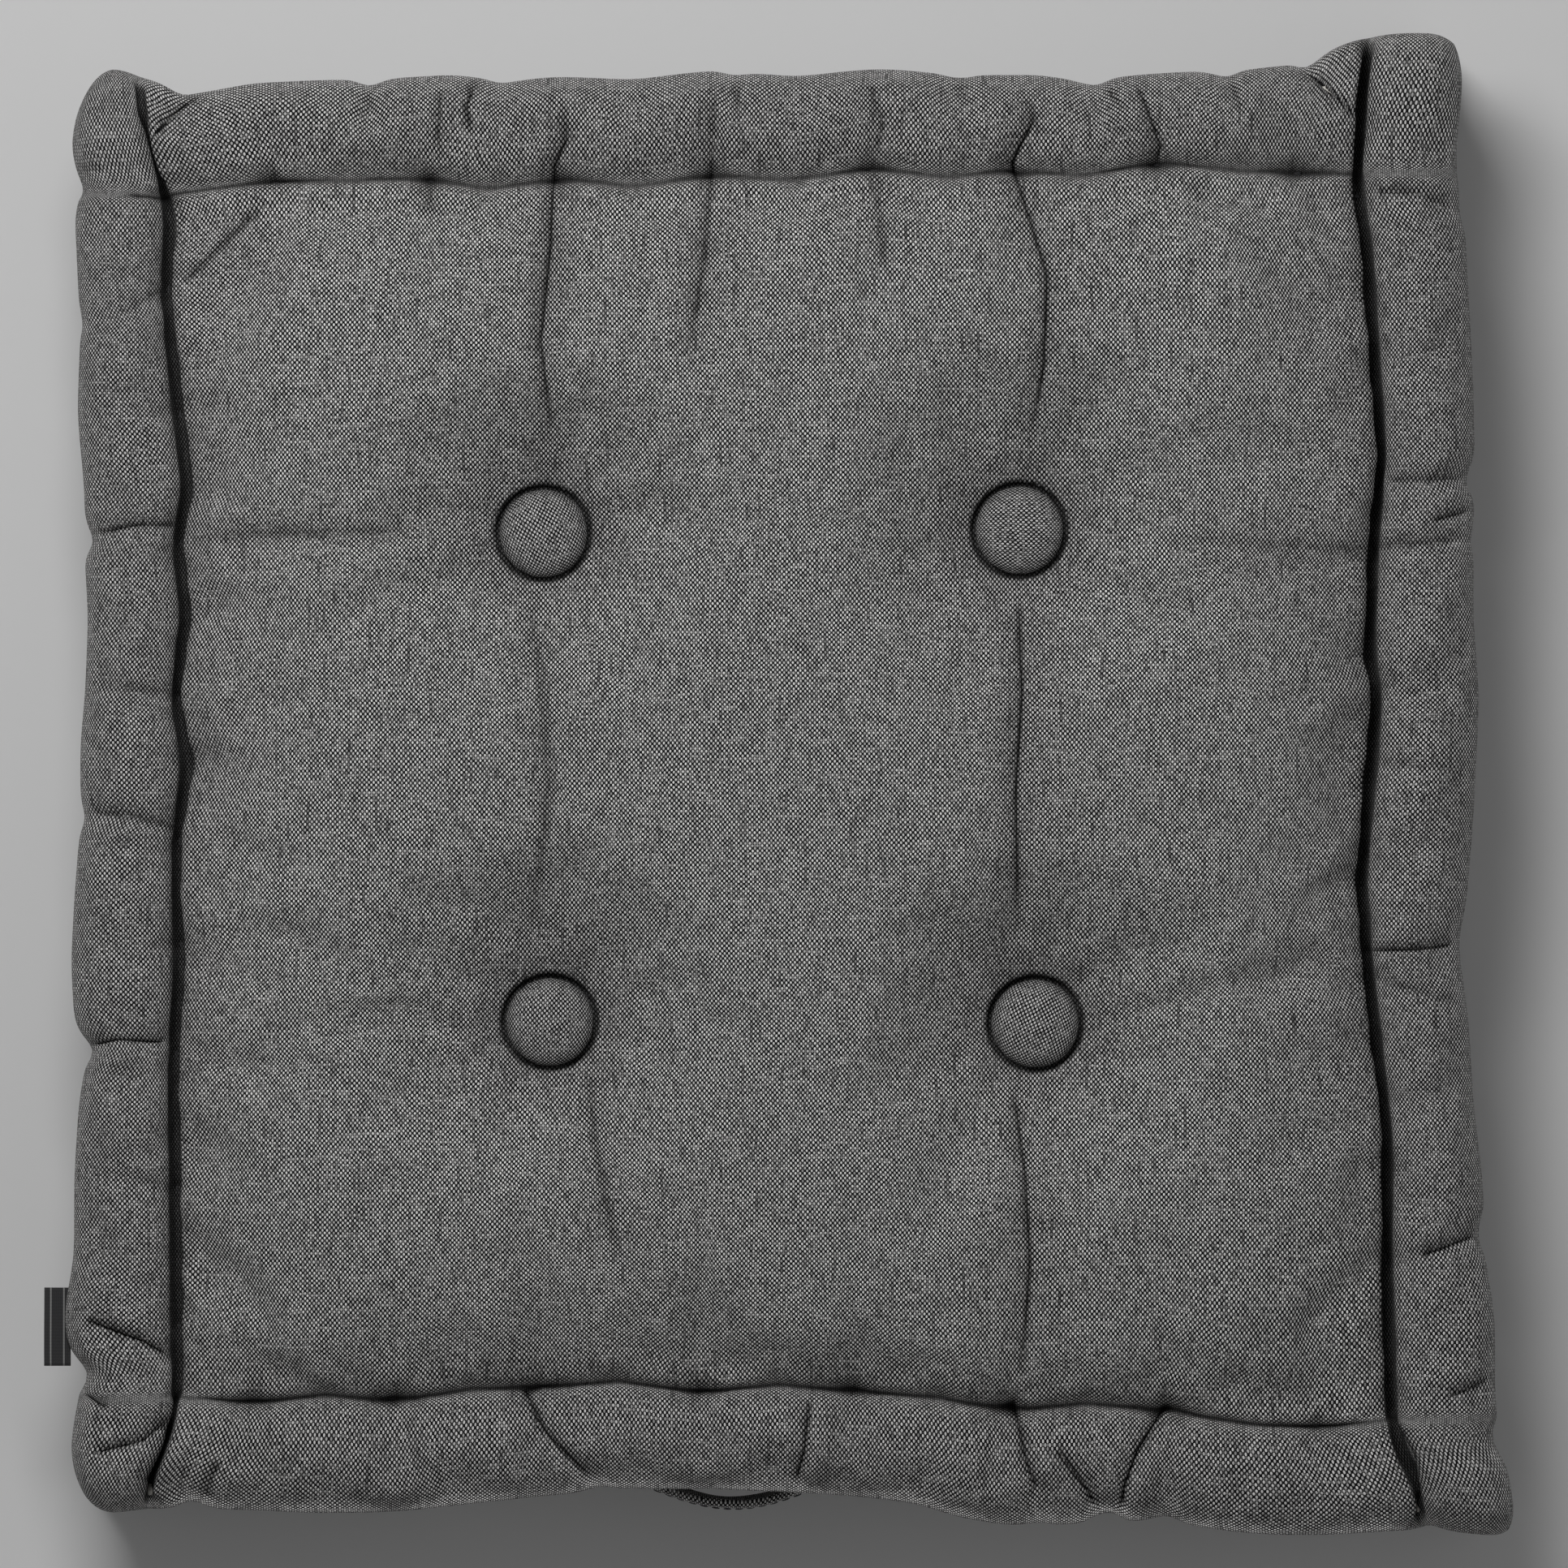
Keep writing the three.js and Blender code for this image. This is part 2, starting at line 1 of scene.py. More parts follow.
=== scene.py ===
# A square floor cushion seen from straight above: a grey woven cover with rolled, hand-tacked edges, pulled down
# by four pairs of covered buttons, with a carry strap on the front and a folded label in the left seam.
import json
import math

import bmesh
import bpy
import numpy as np
from mathutils import Matrix, Vector


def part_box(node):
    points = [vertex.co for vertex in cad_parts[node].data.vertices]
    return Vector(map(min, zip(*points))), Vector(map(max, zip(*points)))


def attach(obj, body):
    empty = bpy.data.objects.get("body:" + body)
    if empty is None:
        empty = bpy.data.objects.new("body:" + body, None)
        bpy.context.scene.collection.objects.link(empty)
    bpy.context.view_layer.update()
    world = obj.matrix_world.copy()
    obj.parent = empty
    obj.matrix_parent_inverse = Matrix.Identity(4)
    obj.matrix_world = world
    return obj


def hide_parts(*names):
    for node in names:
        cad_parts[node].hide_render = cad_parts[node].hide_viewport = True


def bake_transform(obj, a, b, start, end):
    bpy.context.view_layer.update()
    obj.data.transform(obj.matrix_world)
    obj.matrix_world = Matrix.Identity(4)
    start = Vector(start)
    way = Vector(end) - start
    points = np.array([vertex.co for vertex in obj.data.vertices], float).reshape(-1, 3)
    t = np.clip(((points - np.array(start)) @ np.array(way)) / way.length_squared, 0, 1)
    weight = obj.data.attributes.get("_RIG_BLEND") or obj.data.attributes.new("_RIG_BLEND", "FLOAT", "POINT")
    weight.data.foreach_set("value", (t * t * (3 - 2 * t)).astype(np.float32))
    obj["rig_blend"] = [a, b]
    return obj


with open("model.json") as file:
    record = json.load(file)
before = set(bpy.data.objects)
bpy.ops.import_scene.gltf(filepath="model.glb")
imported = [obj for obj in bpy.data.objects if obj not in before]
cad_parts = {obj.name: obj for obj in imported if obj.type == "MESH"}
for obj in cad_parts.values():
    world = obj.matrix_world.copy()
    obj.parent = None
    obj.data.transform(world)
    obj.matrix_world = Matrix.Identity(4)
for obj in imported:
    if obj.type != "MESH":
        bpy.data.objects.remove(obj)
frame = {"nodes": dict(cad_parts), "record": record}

MM = 0.001
scene = bpy.context.scene
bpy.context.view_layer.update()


# ---- Camera ----
# A long lens straight above the cushion, with the back edge at the top of the picture.

VIEW_WIDTH = 0.4985
LENS, SENSOR = 300.0, 36.0
seat_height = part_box("top_panel")[1][2]

camera_data = bpy.data.cameras.new("camera")
camera_data.lens, camera_data.sensor_width = LENS, SENSOR
camera_data.clip_end = 50
camera = bpy.data.objects.new("camera", camera_data)
camera.location = (2.3 * MM, 1.5 * MM, seat_height + VIEW_WIDTH * LENS / SENSOR)
scene.collection.objects.link(camera)
scene.camera = camera


# ---- Cover: its form ----
# The cover is two square panels of coarse canvas and four boxing strips, sewn round the filling. Twine pulled
# through the edges makes a firm roll along each side of both panels, and twine through the middle pulls the
# buttons down. The whole cover is shaped as one closed cloth here, and cut along its seams afterwards.

TOP, BOTTOM, BOXING = 0, 1, 2
CELLS = 104
ROLL = 15.5 * MM
EAR = 8 * MM
GROOVE = 31 * MM
top_low, top_high = (Vector(corner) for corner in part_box("top_panel"))
bottom_high = Vector(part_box("bottom_panel")[1])
HALF = top_high.x - EAR
SEAM_TOP, SEAM_BOTTOM = top_low.z, bottom_high.z
CREST = SEAM_TOP + ROLL
ARC = math.pi * ROLL
CLOTH_HALF = ARC + HALF - 2 * ROLL + 4 * MM

TUFTS = {}
for joint in frame["record"]["behaviour"]["joints"]:
    if joint["name"].startswith("tuft_"):
        TUFTS[joint["child"]] = np.array(joint["pos_m"][:2])
SEAT_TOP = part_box("top_button_back_left_cover")[0][2] - 0.35 * MM
SEAT_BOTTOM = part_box("bottom_button_back_left_cover")[1][2] + 0.35 * MM
BUTTON_RADIUS = 14.2 * MM


ROUNDING = 5 * MM  # how far the corners of an outline table are smoothed
TABLE_STEPS, TABLE_REACH = 400, 24
NICK_WIDTH, NICK_GAIN = 3.4 * MM, 1.35


def along(points):
    """A smooth function through (place, value) pairs in millimetres."""
    places, values = (np.array(column) * MM for column in zip(*sorted(points)))
    fine = np.linspace(places[0], places[-1], TABLE_STEPS)
    raw = np.interp(fine, places, values)
    width = np.arange(-TABLE_REACH, TABLE_REACH + 1) * (fine[1] - fine[0])
    weight = np.exp(-((width / ROUNDING) ** 2))
    padded = np.pad(raw, TABLE_REACH, mode="edge")
    smooth = np.convolve(padded, weight / weight.sum(), mode="valid")
    return lambda t: np.interp(t, fine, smooth)


def nicked(points, nicks):
    """A smooth function with a few narrow nicks, each given as its place and depth in millimetres."""
    smooth = along(points)

    def edge(t, sharp=1.0):
        total = smooth(t)
        for place, depth in nicks:
            total = total - sharp * NICK_GAIN * depth * MM * np.exp(-(((t - place * MM) / NICK_WIDTH) ** 2))
        return total

    return edge


# How far each edge stands outside the square, and how far each groove lies outside its even line, going along.
EDGE = {
    "left": nicked([(-225, 3), (-213, 2), (-200, 0), (-188, -3), (-176, 3), (-165, 3), (-150, 0), (-125, 0),
                   (-100, -1.5), (-87, -4), (-75, 0), (-55, 1), (-36, 0), (-10, -2), (15, -2), (30, -3.5),
                   (55, -4.5), (80, -3), (93, -3.5), (120, -1), (145, -2), (170, -1), (195, 0), (210, 1), (225, 0)],
                   [(80, 3), (196, 2.5), (-83, 3.5), (-187, 3), (-9, 1.5), (150, 1)]),
    "right": nicked([(-235, 13), (-216, 11), (-203, 8), (-190, 5), (-165, 5), (-150, 2), (-125, 1), (-100, -2),
                    (-74, -3.5), (-49, -7), (-36, -4), (-10, -2), (29, 0), (55, -2), (106, -1.5), (130, -2),
                    (158, -3.5), (184, -5), (197, -8), (209, -6), (225, -4)],
                    [(99, 3), (183, 1.5), (-142, 2.5), (-199, 3), (80, 1)]),
    "back": nicked([(-225, 6), (-213, 6), (-200, 5), (-188, 1), (-176, -3), (-162, 1), (-125, 2), (-105, 3.5),
                   (-84, 1), (-71, 3), (-46, 1.5), (-20, 5), (6, 2.5), (32, 5.5), (58, 3), (83, 3.5), (96, 1),
                   (122, 4), (148, 4.5), (170, 7), (187, 14), (200, 17), (225, 17)],
                   [(-129.5, 2.2), (-181, 2), (-88, 1), (-13, 1.2), (58, 1.2), (101, 2), (143, 2), (173, 2.5)]),
    "front": nicked([(-225, 6), (-213, 8), (-200, 6), (-182, 5), (-150, 6.5), (-123, 6.5), (-97, 3.5), (-71, 1),
                    (-48, -1.5), (-33, -1), (-18, -1), (-5, -0.5), (8, 0), (20, 1), (32, 2), (45, 3.5), (58, 8),
                    (75, 11), (96, 10), (122, 9), (148, 13), (165, 14), (187, 12), (205, 13), (225, 15)],
                    [(-181, 2.5), (-57, 1.5), (83, 1), (105, 4), (124, 2), (198, 1.5)]),
}
GROOVE_SHIFT = {
    "left": along([(-229, 5), (-220, 8), (-210, 2), (-200, -1.7), (-185, -2.6), (-123, -1.8), (-85, -1.3),
                   (-59, -3.3), (-17, -2.6), (8, -6), (29, -2), (55, -5.4), (79, -2.6), (96, -6), (127, -2), (160, 1),
                   (190, 0), (206, 6), (216, 9), (225, 10)]),
    "right": along([(-234, 6), (-226, 12), (-214, 11.5), (-201.5, 3.4), (-185, 2), (-152, 1), (-110, 1), (-59, -5),
                    (-30, -7.5), (29, -2.3), (44, -5), (75, -3.6), (106, -1), (166, -5), (195, -8.8), (217, -6.7),
                    (225, -3.6)]),
    "back": along([(-191, -5), (-162, -0.5), (-111, 0.5), (-92, -3), (-69, 0.5), (-45, -2), (-21, 1.6), (5, 0),
                   (31, 4), (52, 1), (76, 3), (98, 1.5), (121, 5.7), (150, 3), (189, 2)]),
    "front": along([(-191, 0), (-166, 1.8), (-145, -1), (-123, 1.3), (-98, -2.5), (-76, -3.3), (-50, -5),
                    (-24, -1.5), (0, -4), (24, -2), (50, 0), (74, 3.9), (98, 2), (124, 4), (153, 9), (171, 9.6),
                    (196, 6.7)]),
}

# The tacks: where the stitches pull each roll in.
TACKS = {
    "back": [-160, -111, -69, -21, 31, 76, 121.5, 165],
    "front": [-166, -123, -76, -24, 24.5, 74, 124, 171],
    "left": [-172, -128, -85, -50, -17, 28, 79, 120, 160, 189],
    "right": [-198, -150, -100, -60, -20, 30, 76, 98, 140, 190],
}

# Folds in the top panel: the line in millimetres, its depth and width, and the side that stands up (1 is to the
# left, going along the line).
FOLDS = [
    # through the buttons, from the back seam to the front one
    ([(-68, 221), (-67, 207), (-71, 199), (-72, 173), (-75, 142), (-72, 117), (-74, 98)], 4.5, 3.6, -1),
    ([(79, 226), (82, 213), (75, 200), (78, 190), (86, 163), (85, 135), (83, 122), (79, 98)], 4.5, 4.4, -1),
    ([(-79, 64), (-74, 30), (-72, 0), (-78, -54)], 2.0, 6.0, -1),
    ([(77, 66), (78, 30), (76, 0), (77, -56)], 4.4, 4.6, -1),
    ([(-61, -86), (-57, -118), (-52, -142), (-50, -160)], 2.4, 4.6, 1),
    ([(75, -92), (79, -122), (80.5, -150), (79, -175), (75.5, -198)], 4.0, 4.2, -1),
    # from the back seam into the panel and over its roll
    ([(-20, 226), (-20.5, 200), (-22.5, 170), (-27, 140), (-27, 127)], 2.8, 3.8, -1),
    ([(29, 226), (34, 212), (31, 199)], 3.0, 3.0, -1),
    ([(31, 196), (34, 176), (35, 160)], 2.6, 3.0, -1),
    ([(-95, 229), (-99, 217), (-96.5, 206)], 4.6, 3.0, -1),
    ([(-107, 224), (-108, 208), (-107, 198)], 3.6, 3.0, -1),
    ([(-110, 196), (-111, 180)], 1.8, 4.0, -1),
    ([(-129.5, 233), (-130, 213)], 2.6, 2.8, 1),
    ([(-13, 232), (-12, 212)], 3.2, 3.0, 1),
    ([(6, 230), (4, 218)], 1.4, 2.4, 1),
    ([(58, 233), (60, 217)], 2.4, 2.8, 1),
    ([(102, 228), (112, 215)], 3.6, 2.8, -1),
    ([(115, 225), (122.5, 205), (120, 197)], 4.2, 3.2, -1),
    ([(143, 232), (149, 214)], 3.0, 3.0, -1),
    ([(162, 235), (172, 223), (180, 215), (187, 213)], 5.2, 3.2, -1),
    ([(-180, 225), (-190, 213), (-197, 205)], 4.8, 3.2, 1),
    ([(-193, 193), (-200, 206), (-203, 216)], 4.0, 3.0, 1),
    ([(-226, 206), (-221, 222), (-209, 231)], 2.6, 2.2, 1),
    ([(204, 241), (213, 240), (218, 233), (220, 222)], 1.4, 1.6, 1),
    ([(-186, 160), (-175, 172), (-160, 189)], 3.0, 4.6, 1),
    ([(-188, 79), (-140, 81), (-100, 82)], 1.2, 5.0, 1),
    ([(189, 75), (160, 77), (115, 80)], 1.3, 5.0, 1),
    # over the front roll
    ([(-82, -189), (-74, -205), (-65, -214), (-56, -223)], 5.2, 3.4, 1),
    ([(10.5, -194), (9, -210), (5, -226)], 4.8, 3.2, 1),
    ([(75, -193), (80, -216), (85, -228)], 5.6, 3.6, 1),
    ([(89, -210), (97, -221), (105, -233)], 4.8, 3.2, 1),
    ([(125, -196), (115, -211), (111, -222), (109, -236)], 6.0, 3.6, 1),
    ([(-175, -214), (-182, -232)], 3.4, 3.0, 1),
    ([(36, -203), (40, -222)], 1.4, 3.0, 1),
    ([(150, -206), (146, -236)], 1.4, 3.4, 1),
    ([(-120, -198), (-112, -228)], 1.2, 3.4, 1),
    # where the side rolls turn over at the front corners
    ([(-221, -169), (-203, -176), (-191, -184)], 4.4, 3.0, 1),
    ([(-221, -193), (-213, -198)], 3.4, 2.6, 1),
    ([(-218, -212), (-203, -208), (-193, -198)], 3.6, 2.8, 1),
    ([(-191, -192), (-195, -208), (-201.5, -220), (-198, -231)], 4.6, 3.0, 1),
    ([(197, -199), (205, -213), (206, -226), (199, -235)], 4.6, 3.0, 1),
    ([(214, -194), (230, -187)], 3.0, 3.0, 1),
    ([(228, -238), (238, -230)], 1.6, 3.0, 1),
    # across the side rolls
    ([(190.5, 190), (204, 190), (219, 183)], 2.6, 3.0, 1),
    ([(208, 85), (225, 90)], 3.0, 3.2, 1),
    ([(191, 76), (223, 80)], 2.0, 3.0, 1),
    ([(194, 98), (224, 99)], 2.6, 3.0, 1),
    ([(186, -52), (205, -51), (222, -49)], 3.4, 3.2, 1),
    ([(194, -62), (222, -70)], 2.2, 3.0, 1),
    ([(205, -149), (227, -141)], 3.2, 3.2, 1),
    ([(192, 8), (224, 4)], 1.2, 3.6, 1),
    ([(-194, 188), (-209, 189)], 2.6, 3.0, 1),
    ([(-214, 198), (-226, 196)], 2.4, 2.8, 1),
    ([(-196, 160), (-212, 149)], 2.2, 3.4, 1),
    ([(-191, 84), (-204, 84), (-224, 80)], 3.4, 3.0, 1),
    ([(-190, -14), (-206, -9), (-224, -8)], 2.2, 3.2, 1),
    ([(-189, 29), (-223, 33)], 1.4, 3.4, 1),
    ([(-193, -128), (-224, -120)], 1.4, 3.4, 1),
    ([(-195, -81), (-210, -80), (-225, -83)], 4.0, 3.2, 1),
]


def line_distance(x, y, line):
    """How far each point lies from a line of points, how far along it the nearest place is, from 0 to 1, on which
    side the point lies, and the way from the line to the point."""
    stops = np.array(line) * MM
    best = np.full(x.shape, 1.0)
    share, side, away_x, away_y = (np.zeros(x.shape) for _ in range(4))
    lengths = np.hypot(*(stops[1:] - stops[:-1]).T)
    gone = np.concatenate([[0], np.cumsum(lengths)]) / lengths.sum()
    for i, length in enumerate(lengths):
        step = (stops[i + 1] - stops[i]) / length
        t = np.clip((x - stops[i][0]) * step[0] + (y - stops[i][1]) * step[1], 0, length)
        off_x, off_y = x - stops[i][0] - step[0] * t, y - stops[i][1] - step[1] * t
        away = np.hypot(off_x, off_y)
        nearer = away < best
        away_x, away_y = np.where(nearer, off_x, away_x), np.where(nearer, off_y, away_y)
        best = np.where(nearer, away, best)
        share = np.where(nearer, gone[i] + (gone[i + 1] - gone[i]) * t / length, share)
        left = step[0] * (y - stops[i][1]) - step[1] * (x - stops[i][0])
        side = np.where(nearer, np.sign(left), side)
    return best, share, side, away_x, away_y


def rises(t):
    """A smooth step from 0 to 1 as t goes from 0 to 1."""
    t = np.clip(t, 0, 1)
    return t * t * (3 - 2 * t)


def wander(x, y, size, seed):
    """A smooth uneven field between about -1 and 1, with hills of a size."""
    total = np.zeros(np.shape(x))
    draw = np.random.default_rng(seed)
    for _ in range(9):
        angle, phase, scale = draw.uniform(0, 2 * math.pi), draw.uniform(0, 2 * math.pi), draw.uniform(0.7, 1.5)
        total = total + np.sin((x * math.cos(angle) + y * math.sin(angle)) * 2 * math.pi / (size * scale) + phase)
    return total / 4


def plan(across, deep):
    """Where a point of the flat cloth lies in plan: the cloth goes over the rolls, so it shortens there."""
    from_seam = [CLOTH_HALF - np.abs(c) for c in (across, deep)]
    inset = [
        np.where(s < ARC, ROLL * (1 - np.cos(np.minimum(s, ARC) / ROLL)), 2 * ROLL + (s - ARC) * (HALF - 2 * ROLL)
                 / (CLOTH_HALF - ARC))
        for s in from_seam
    ]
    return inset[0], inset[1], np.sign(across), np.sign(deep)


END_GROOVE_REACH, END_GROOVE_DRAW = 9 * MM, 0.8
PANEL_FADE = 60 * MM  # how far into the panel a groove's waves die out


def drawn_in(inset):
    """The cloth beside an end groove is drawn towards it, so that the groove's walls stand steep."""
    away = inset - GROOVE
    steep = np.sign(away) * END_GROOVE_REACH * (np.abs(away) / END_GROOVE_REACH) ** 2.2
    return np.where(np.abs(away) < END_GROOVE_REACH, inset + (steep - away) * END_GROOVE_DRAW, inset)


def side_shift(inset, edge, groove):
    """Moves the edge and the groove out by their own amounts, fading out into the panel."""
    over_roll = np.clip(inset / GROOVE, 0, 1)
    inner = 1 - rises((inset - GROOVE) / PANEL_FADE)
    return np.where(inset < GROOVE, edge * (1 - over_roll) + groove * over_roll, groove * inner)


EAR_RADIUS, BACK_RIGHT_RADIUS, FRONT_RIGHT_RADIUS = 21 * MM, 13 * MM, 9 * MM


def cover_plan(across, deep, sharp=1.0):
    """Plan place of the top panel's cloth, on the uneven outline, with its insets from the left or right side
    and from the front or back. The outline's nicks may be left out."""
    u, v, sx, sy = plan(across, deep)
    x, y = sx * (HALF - u), sy * (HALF - drawn_in(v))
    corner = np.where(x < 0, EAR_RADIUS, np.where(y > 0, BACK_RIGHT_RADIUS, FRONT_RIGHT_RADIUS))
    p = np.clip((np.abs(x) - (HALF - corner)) / corner, 0, 1)
    q = np.clip((np.abs(y) - (HALF - corner)) / corner, 0, 1)
    x = x - sx * corner * p * (1 - np.sqrt(1 - q * q / 2))
    y = y - sy * corner * q * (1 - np.sqrt(1 - p * p / 2))
    edge_x = np.where(sx < 0, EDGE["left"](y, sharp), EDGE["right"](y, sharp))
    edge_y = np.where(sy < 0, EDGE["front"](x, sharp), EDGE["back"](x, sharp))
    groove_x = np.where(sx < 0, GROOVE_SHIFT["left"](y), GROOVE_SHIFT["right"](y))
    groove_y = np.where(sy < 0, GROOVE_SHIFT["front"](x), GROOVE_SHIFT["back"](x))
    return x + sx * side_shift(u, edge_x, groove_x), y + sy * side_shift(v, edge_y, groove_y), u, v


def near_tacks(place, tacks, spread):
    pull = np.zeros(place.shape)
    for tack in tacks:
        pull = np.maximum(pull, np.exp(-(((place - tack * MM) / spread) ** 2)))
    return pull


def tack_pulls(x, y):
    """How near each point lies to a tack of the side rolls, and to one of the end rolls, from 0 to 1."""
    side_pull = np.where(x < 0, near_tacks(y, TACKS["left"], 9 * MM), near_tacks(y, TACKS["right"], 9 * MM))
    end_pull = np.where(y < 0, near_tacks(x, TACKS["front"], 8 * MM), near_tacks(x, TACKS["back"], 8 * MM))
    return side_pull, end_pull


GROOVE_BELOW_SEAM = 3 * MM
END_GROOVE_RISE, END_GROOVE_TACK = 9.5, 5.0  # above the seam, and lower at the tacks
SIDE_SHOULDER, END_SHOULDER = 75 * MM, 85 * MM  # from a groove to the crown of the panel
BUTT = 9 * MM  # how far the end rolls round off against the side grooves
LIP = 8.5 * MM  # half the width of the ear's lip over the groove


def top_height(x, y, u, v):
    """Height of the top panel: two long rolls left and right, two shorter ones between them, and the crown."""
    side_tacks, end_tacks = tack_pulls(x, y)
    lump = 1 + 0.05 * wander(x, y, 0.09, 3)

    def roll_round(inset):
        return np.sqrt(np.clip(1 - ((inset - ROLL) / ROLL) ** 2, 0, 1))

    end_cap = np.sqrt(np.clip(1 - (1 - np.clip(v / ROLL, 0, 1)) ** 2, 0, 1))
    side_floor = SEAM_TOP - GROOVE_BELOW_SEAM
    side_crest = SEAM_TOP + (CREST - SEAM_TOP) * lump * end_cap * (1 - 0.13 * side_tacks)
    boxy = np.clip(1 - np.abs(np.clip((u - ROLL) / ROLL, 0, 1)) ** 3.2, 0, 1) ** (1 / 3.2)
    side_roll = np.where(u < ROLL, SEAM_TOP + (side_crest - SEAM_TOP) * roll_round(u),
                         side_floor + (side_crest - side_floor) * boxy)
    butt = np.sqrt(np.clip(1 - (1 - np.clip((u - GROOVE) / BUTT, 0, 1)) ** 2, 0, 1))
    end_roll = SEAM_TOP + (CREST - SEAM_TOP) * lump * roll_round(v) * (0.45 + 0.55 * butt) * (1 - 0.20 * end_tacks)

    end_floor = SEAM_TOP + (END_GROOVE_RISE - END_GROOVE_TACK * end_tacks) * MM

    def shoulder(inset, reach):
        t = np.clip((inset - GROOVE) / reach, 0, 1)
        return np.sqrt(1 - (1 - t) ** 2.6)

    drop_side = (seat_height - side_floor) * (1 - shoulder(u, SIDE_SHOULDER))
    drop_end = (seat_height - end_floor) * (1 - shoulder(v, END_SHOULDER))
    crown = seat_height - (drop_side**1.6 + drop_end**1.6) ** (1 / 1.6)
    ends = np.maximum(end_roll, np.where(u < GROOVE, 0, end_floor * butt + side_floor * (1 - butt)))
    height = np.where(u < GROOVE, side_roll, np.where(v < GROOVE, ends, crown))
    # the back left ear is drawn over the end of the groove
    lip = np.sqrt(np.clip(1 - ((v - LIP) / LIP) ** 2, 0, 1)) * rises((56 * MM - u) / (14 * MM))
    ear = SEAM_TOP + 0.92 * (CREST - SEAM_TOP) * lip * rises((u - 4 * MM) / (10 * MM))
    height = np.where((x < 0) & (y > 0), np.maximum(height, ear), height)
    return np.maximum(height, side_floor)


def dimple(x, y, seat_depth, reach):
    """How far the buttons pull the panel down, with the cloth drawn into rays round each."""
    sink = np.zeros(x.shape)
    for number, tuft in enumerate(TUFTS.values()):
        dx, dy = x - tuft[0], y - tuft[1]
        away, angle = np.hypot(dx, dy), np.arctan2(dy, dx)
        seat = BUTTON_RADIUS + 0.8 * MM
        share = np.clip((reach - away) / (reach - seat), 0, 1)
        rays = 0.10 * np.sin(angle * 7 + number) + 0.07 * np.sin(angle * 11 + 2.3 * number)
        pull = share**1.9 * (1 + rays * (1 - share) * 2.2)
        sink = np.maximum(sink, seat_depth * pull + 9 * MM * np.exp(-((away / (4.5 * MM)) ** 2)))
    return sink


def side_profile(row):
    """Inset and height of each row of the boxing, from the top seam to the bottom seam."""
    angles = np.radians([0, 26, 52, 76])
    down = [(ROLL * (1 - math.cos(a)), SEAM_TOP - ROLL * math.sin(a)) for a in angles]
    up = [(ROLL * (1 - math.cos(a)), SEAM_BOTTOM + ROLL * math.sin(a)) for a in angles[::-1]]
    levels = np.linspace(down[-1][1] - 2 * MM, up[0][1] + 2 * MM, 7)
    waist = list(zip(np.array([12.4, 11.0, 10.0, 9.8, 10.0, 11.0, 12.4]) * MM, levels))
    return (down + waist + up)[row]


STRAP_MIDDLE = (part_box("handle_end_left")[0][0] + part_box("handle_end_right")[1][0]) / 2
STRAP_FLAT = 90 * MM  # the boxing lies flat this far to each side of the strap's middle
ROWS = 15  # rings of cloth from the top seam to the bottom seam
TOP_DIMPLE, BOTTOM_DIMPLE = 58 * MM, 42 * MM
AT_RIM = CLOTH_HALF - 0.1 * MM

cover = bmesh.new()
across_layer = cover.verts.layers.float.new("across")
deep_layer = cover.verts.layers.float.new("deep")
row_layer = cover.verts.layers.float.new("row")
side_layer = cover.verts.layers.float.new("side_inset")
end_layer = cover.verts.layers.float.new("end_inset")
part_layer = cover.faces.layers.int.new("part")
weave_layer = cover.loops.layers.uv.new("weave")

bmesh.ops.create_grid(cover, x_segments=CELLS, y_segments=CELLS, size=CLOTH_HALF)
for vertex in cover.verts:
    vertex[across_layer], vertex[deep_layer] = vertex.co.x, vertex.co.y
for face in cover.faces:
    face[part_layer] = TOP
    for loop in face.loops:
        loop[weave_layer].uv = loop.vert.co.xy

bottom_half = bmesh.ops.duplicate(cover, geom=cover.verts[:] + cover.edges[:] + cover.faces[:])["geom"]
bottom_faces = [g for g in bottom_half if isinstance(g, bmesh.types.BMFace)]
bmesh.ops.reverse_faces(cover, faces=bottom_faces)
for face in bottom_faces:
    face[part_layer] = BOTTOM
for vertex in (g for g in bottom_half if isinstance(g, bmesh.types.BMVert)):
    vertex[row_layer] = ROWS
bottom_set = set(bottom_half)
rim = [e for e in cover.edges if e.is_boundary and e not in bottom_set]
for row in range(1, ROWS):
    grown = bmesh.ops.extrude_edge_only(cover, edges=rim)["geom"]
    rim = [g for g in grown if isinstance(g, bmesh.types.BMEdge) and g.is_boundary]
    for vertex in (g for g in grown if isinstance(g, bmesh.types.BMVert)):
        vertex[row_layer] = row
    for face in (g for g in grown if isinstance(g, bmesh.types.BMFace)):
        centre = face.calc_center_median()
        if abs(centre.x) > abs(centre.y):
            face[part_layer] = BOXING + (1 if centre.x > 0 else 0)
        else:
            face[part_layer] = BOXING + (3 if centre.y > 0 else 2)

cover.verts.ensure_lookup_table()
across = np.array([v[across_layer] for v in cover.verts])
deep = np.array([v[deep_layer] for v in cover.verts])
rows = np.array([round(v[row_layer]) for v in cover.verts])

x, y, u, v = cover_plan(across, deep)
z = top_height(x, y, u, v)
inner = (rows == 0) & (np.maximum(np.abs(across), np.abs(deep)) <= AT_RIM)
sunk = z - dimple(x, y, seat_height - SEAT_TOP, TOP_DIMPLE)
z = np.where(inner & (np.minimum(u, v) > GROOVE), sunk, z)

# Outward direction along the rim, for the boxing and the bottom rolls.
step = 2 * MM
on_side, on_end = np.abs(across) > AT_RIM, np.abs(deep) > AT_RIM


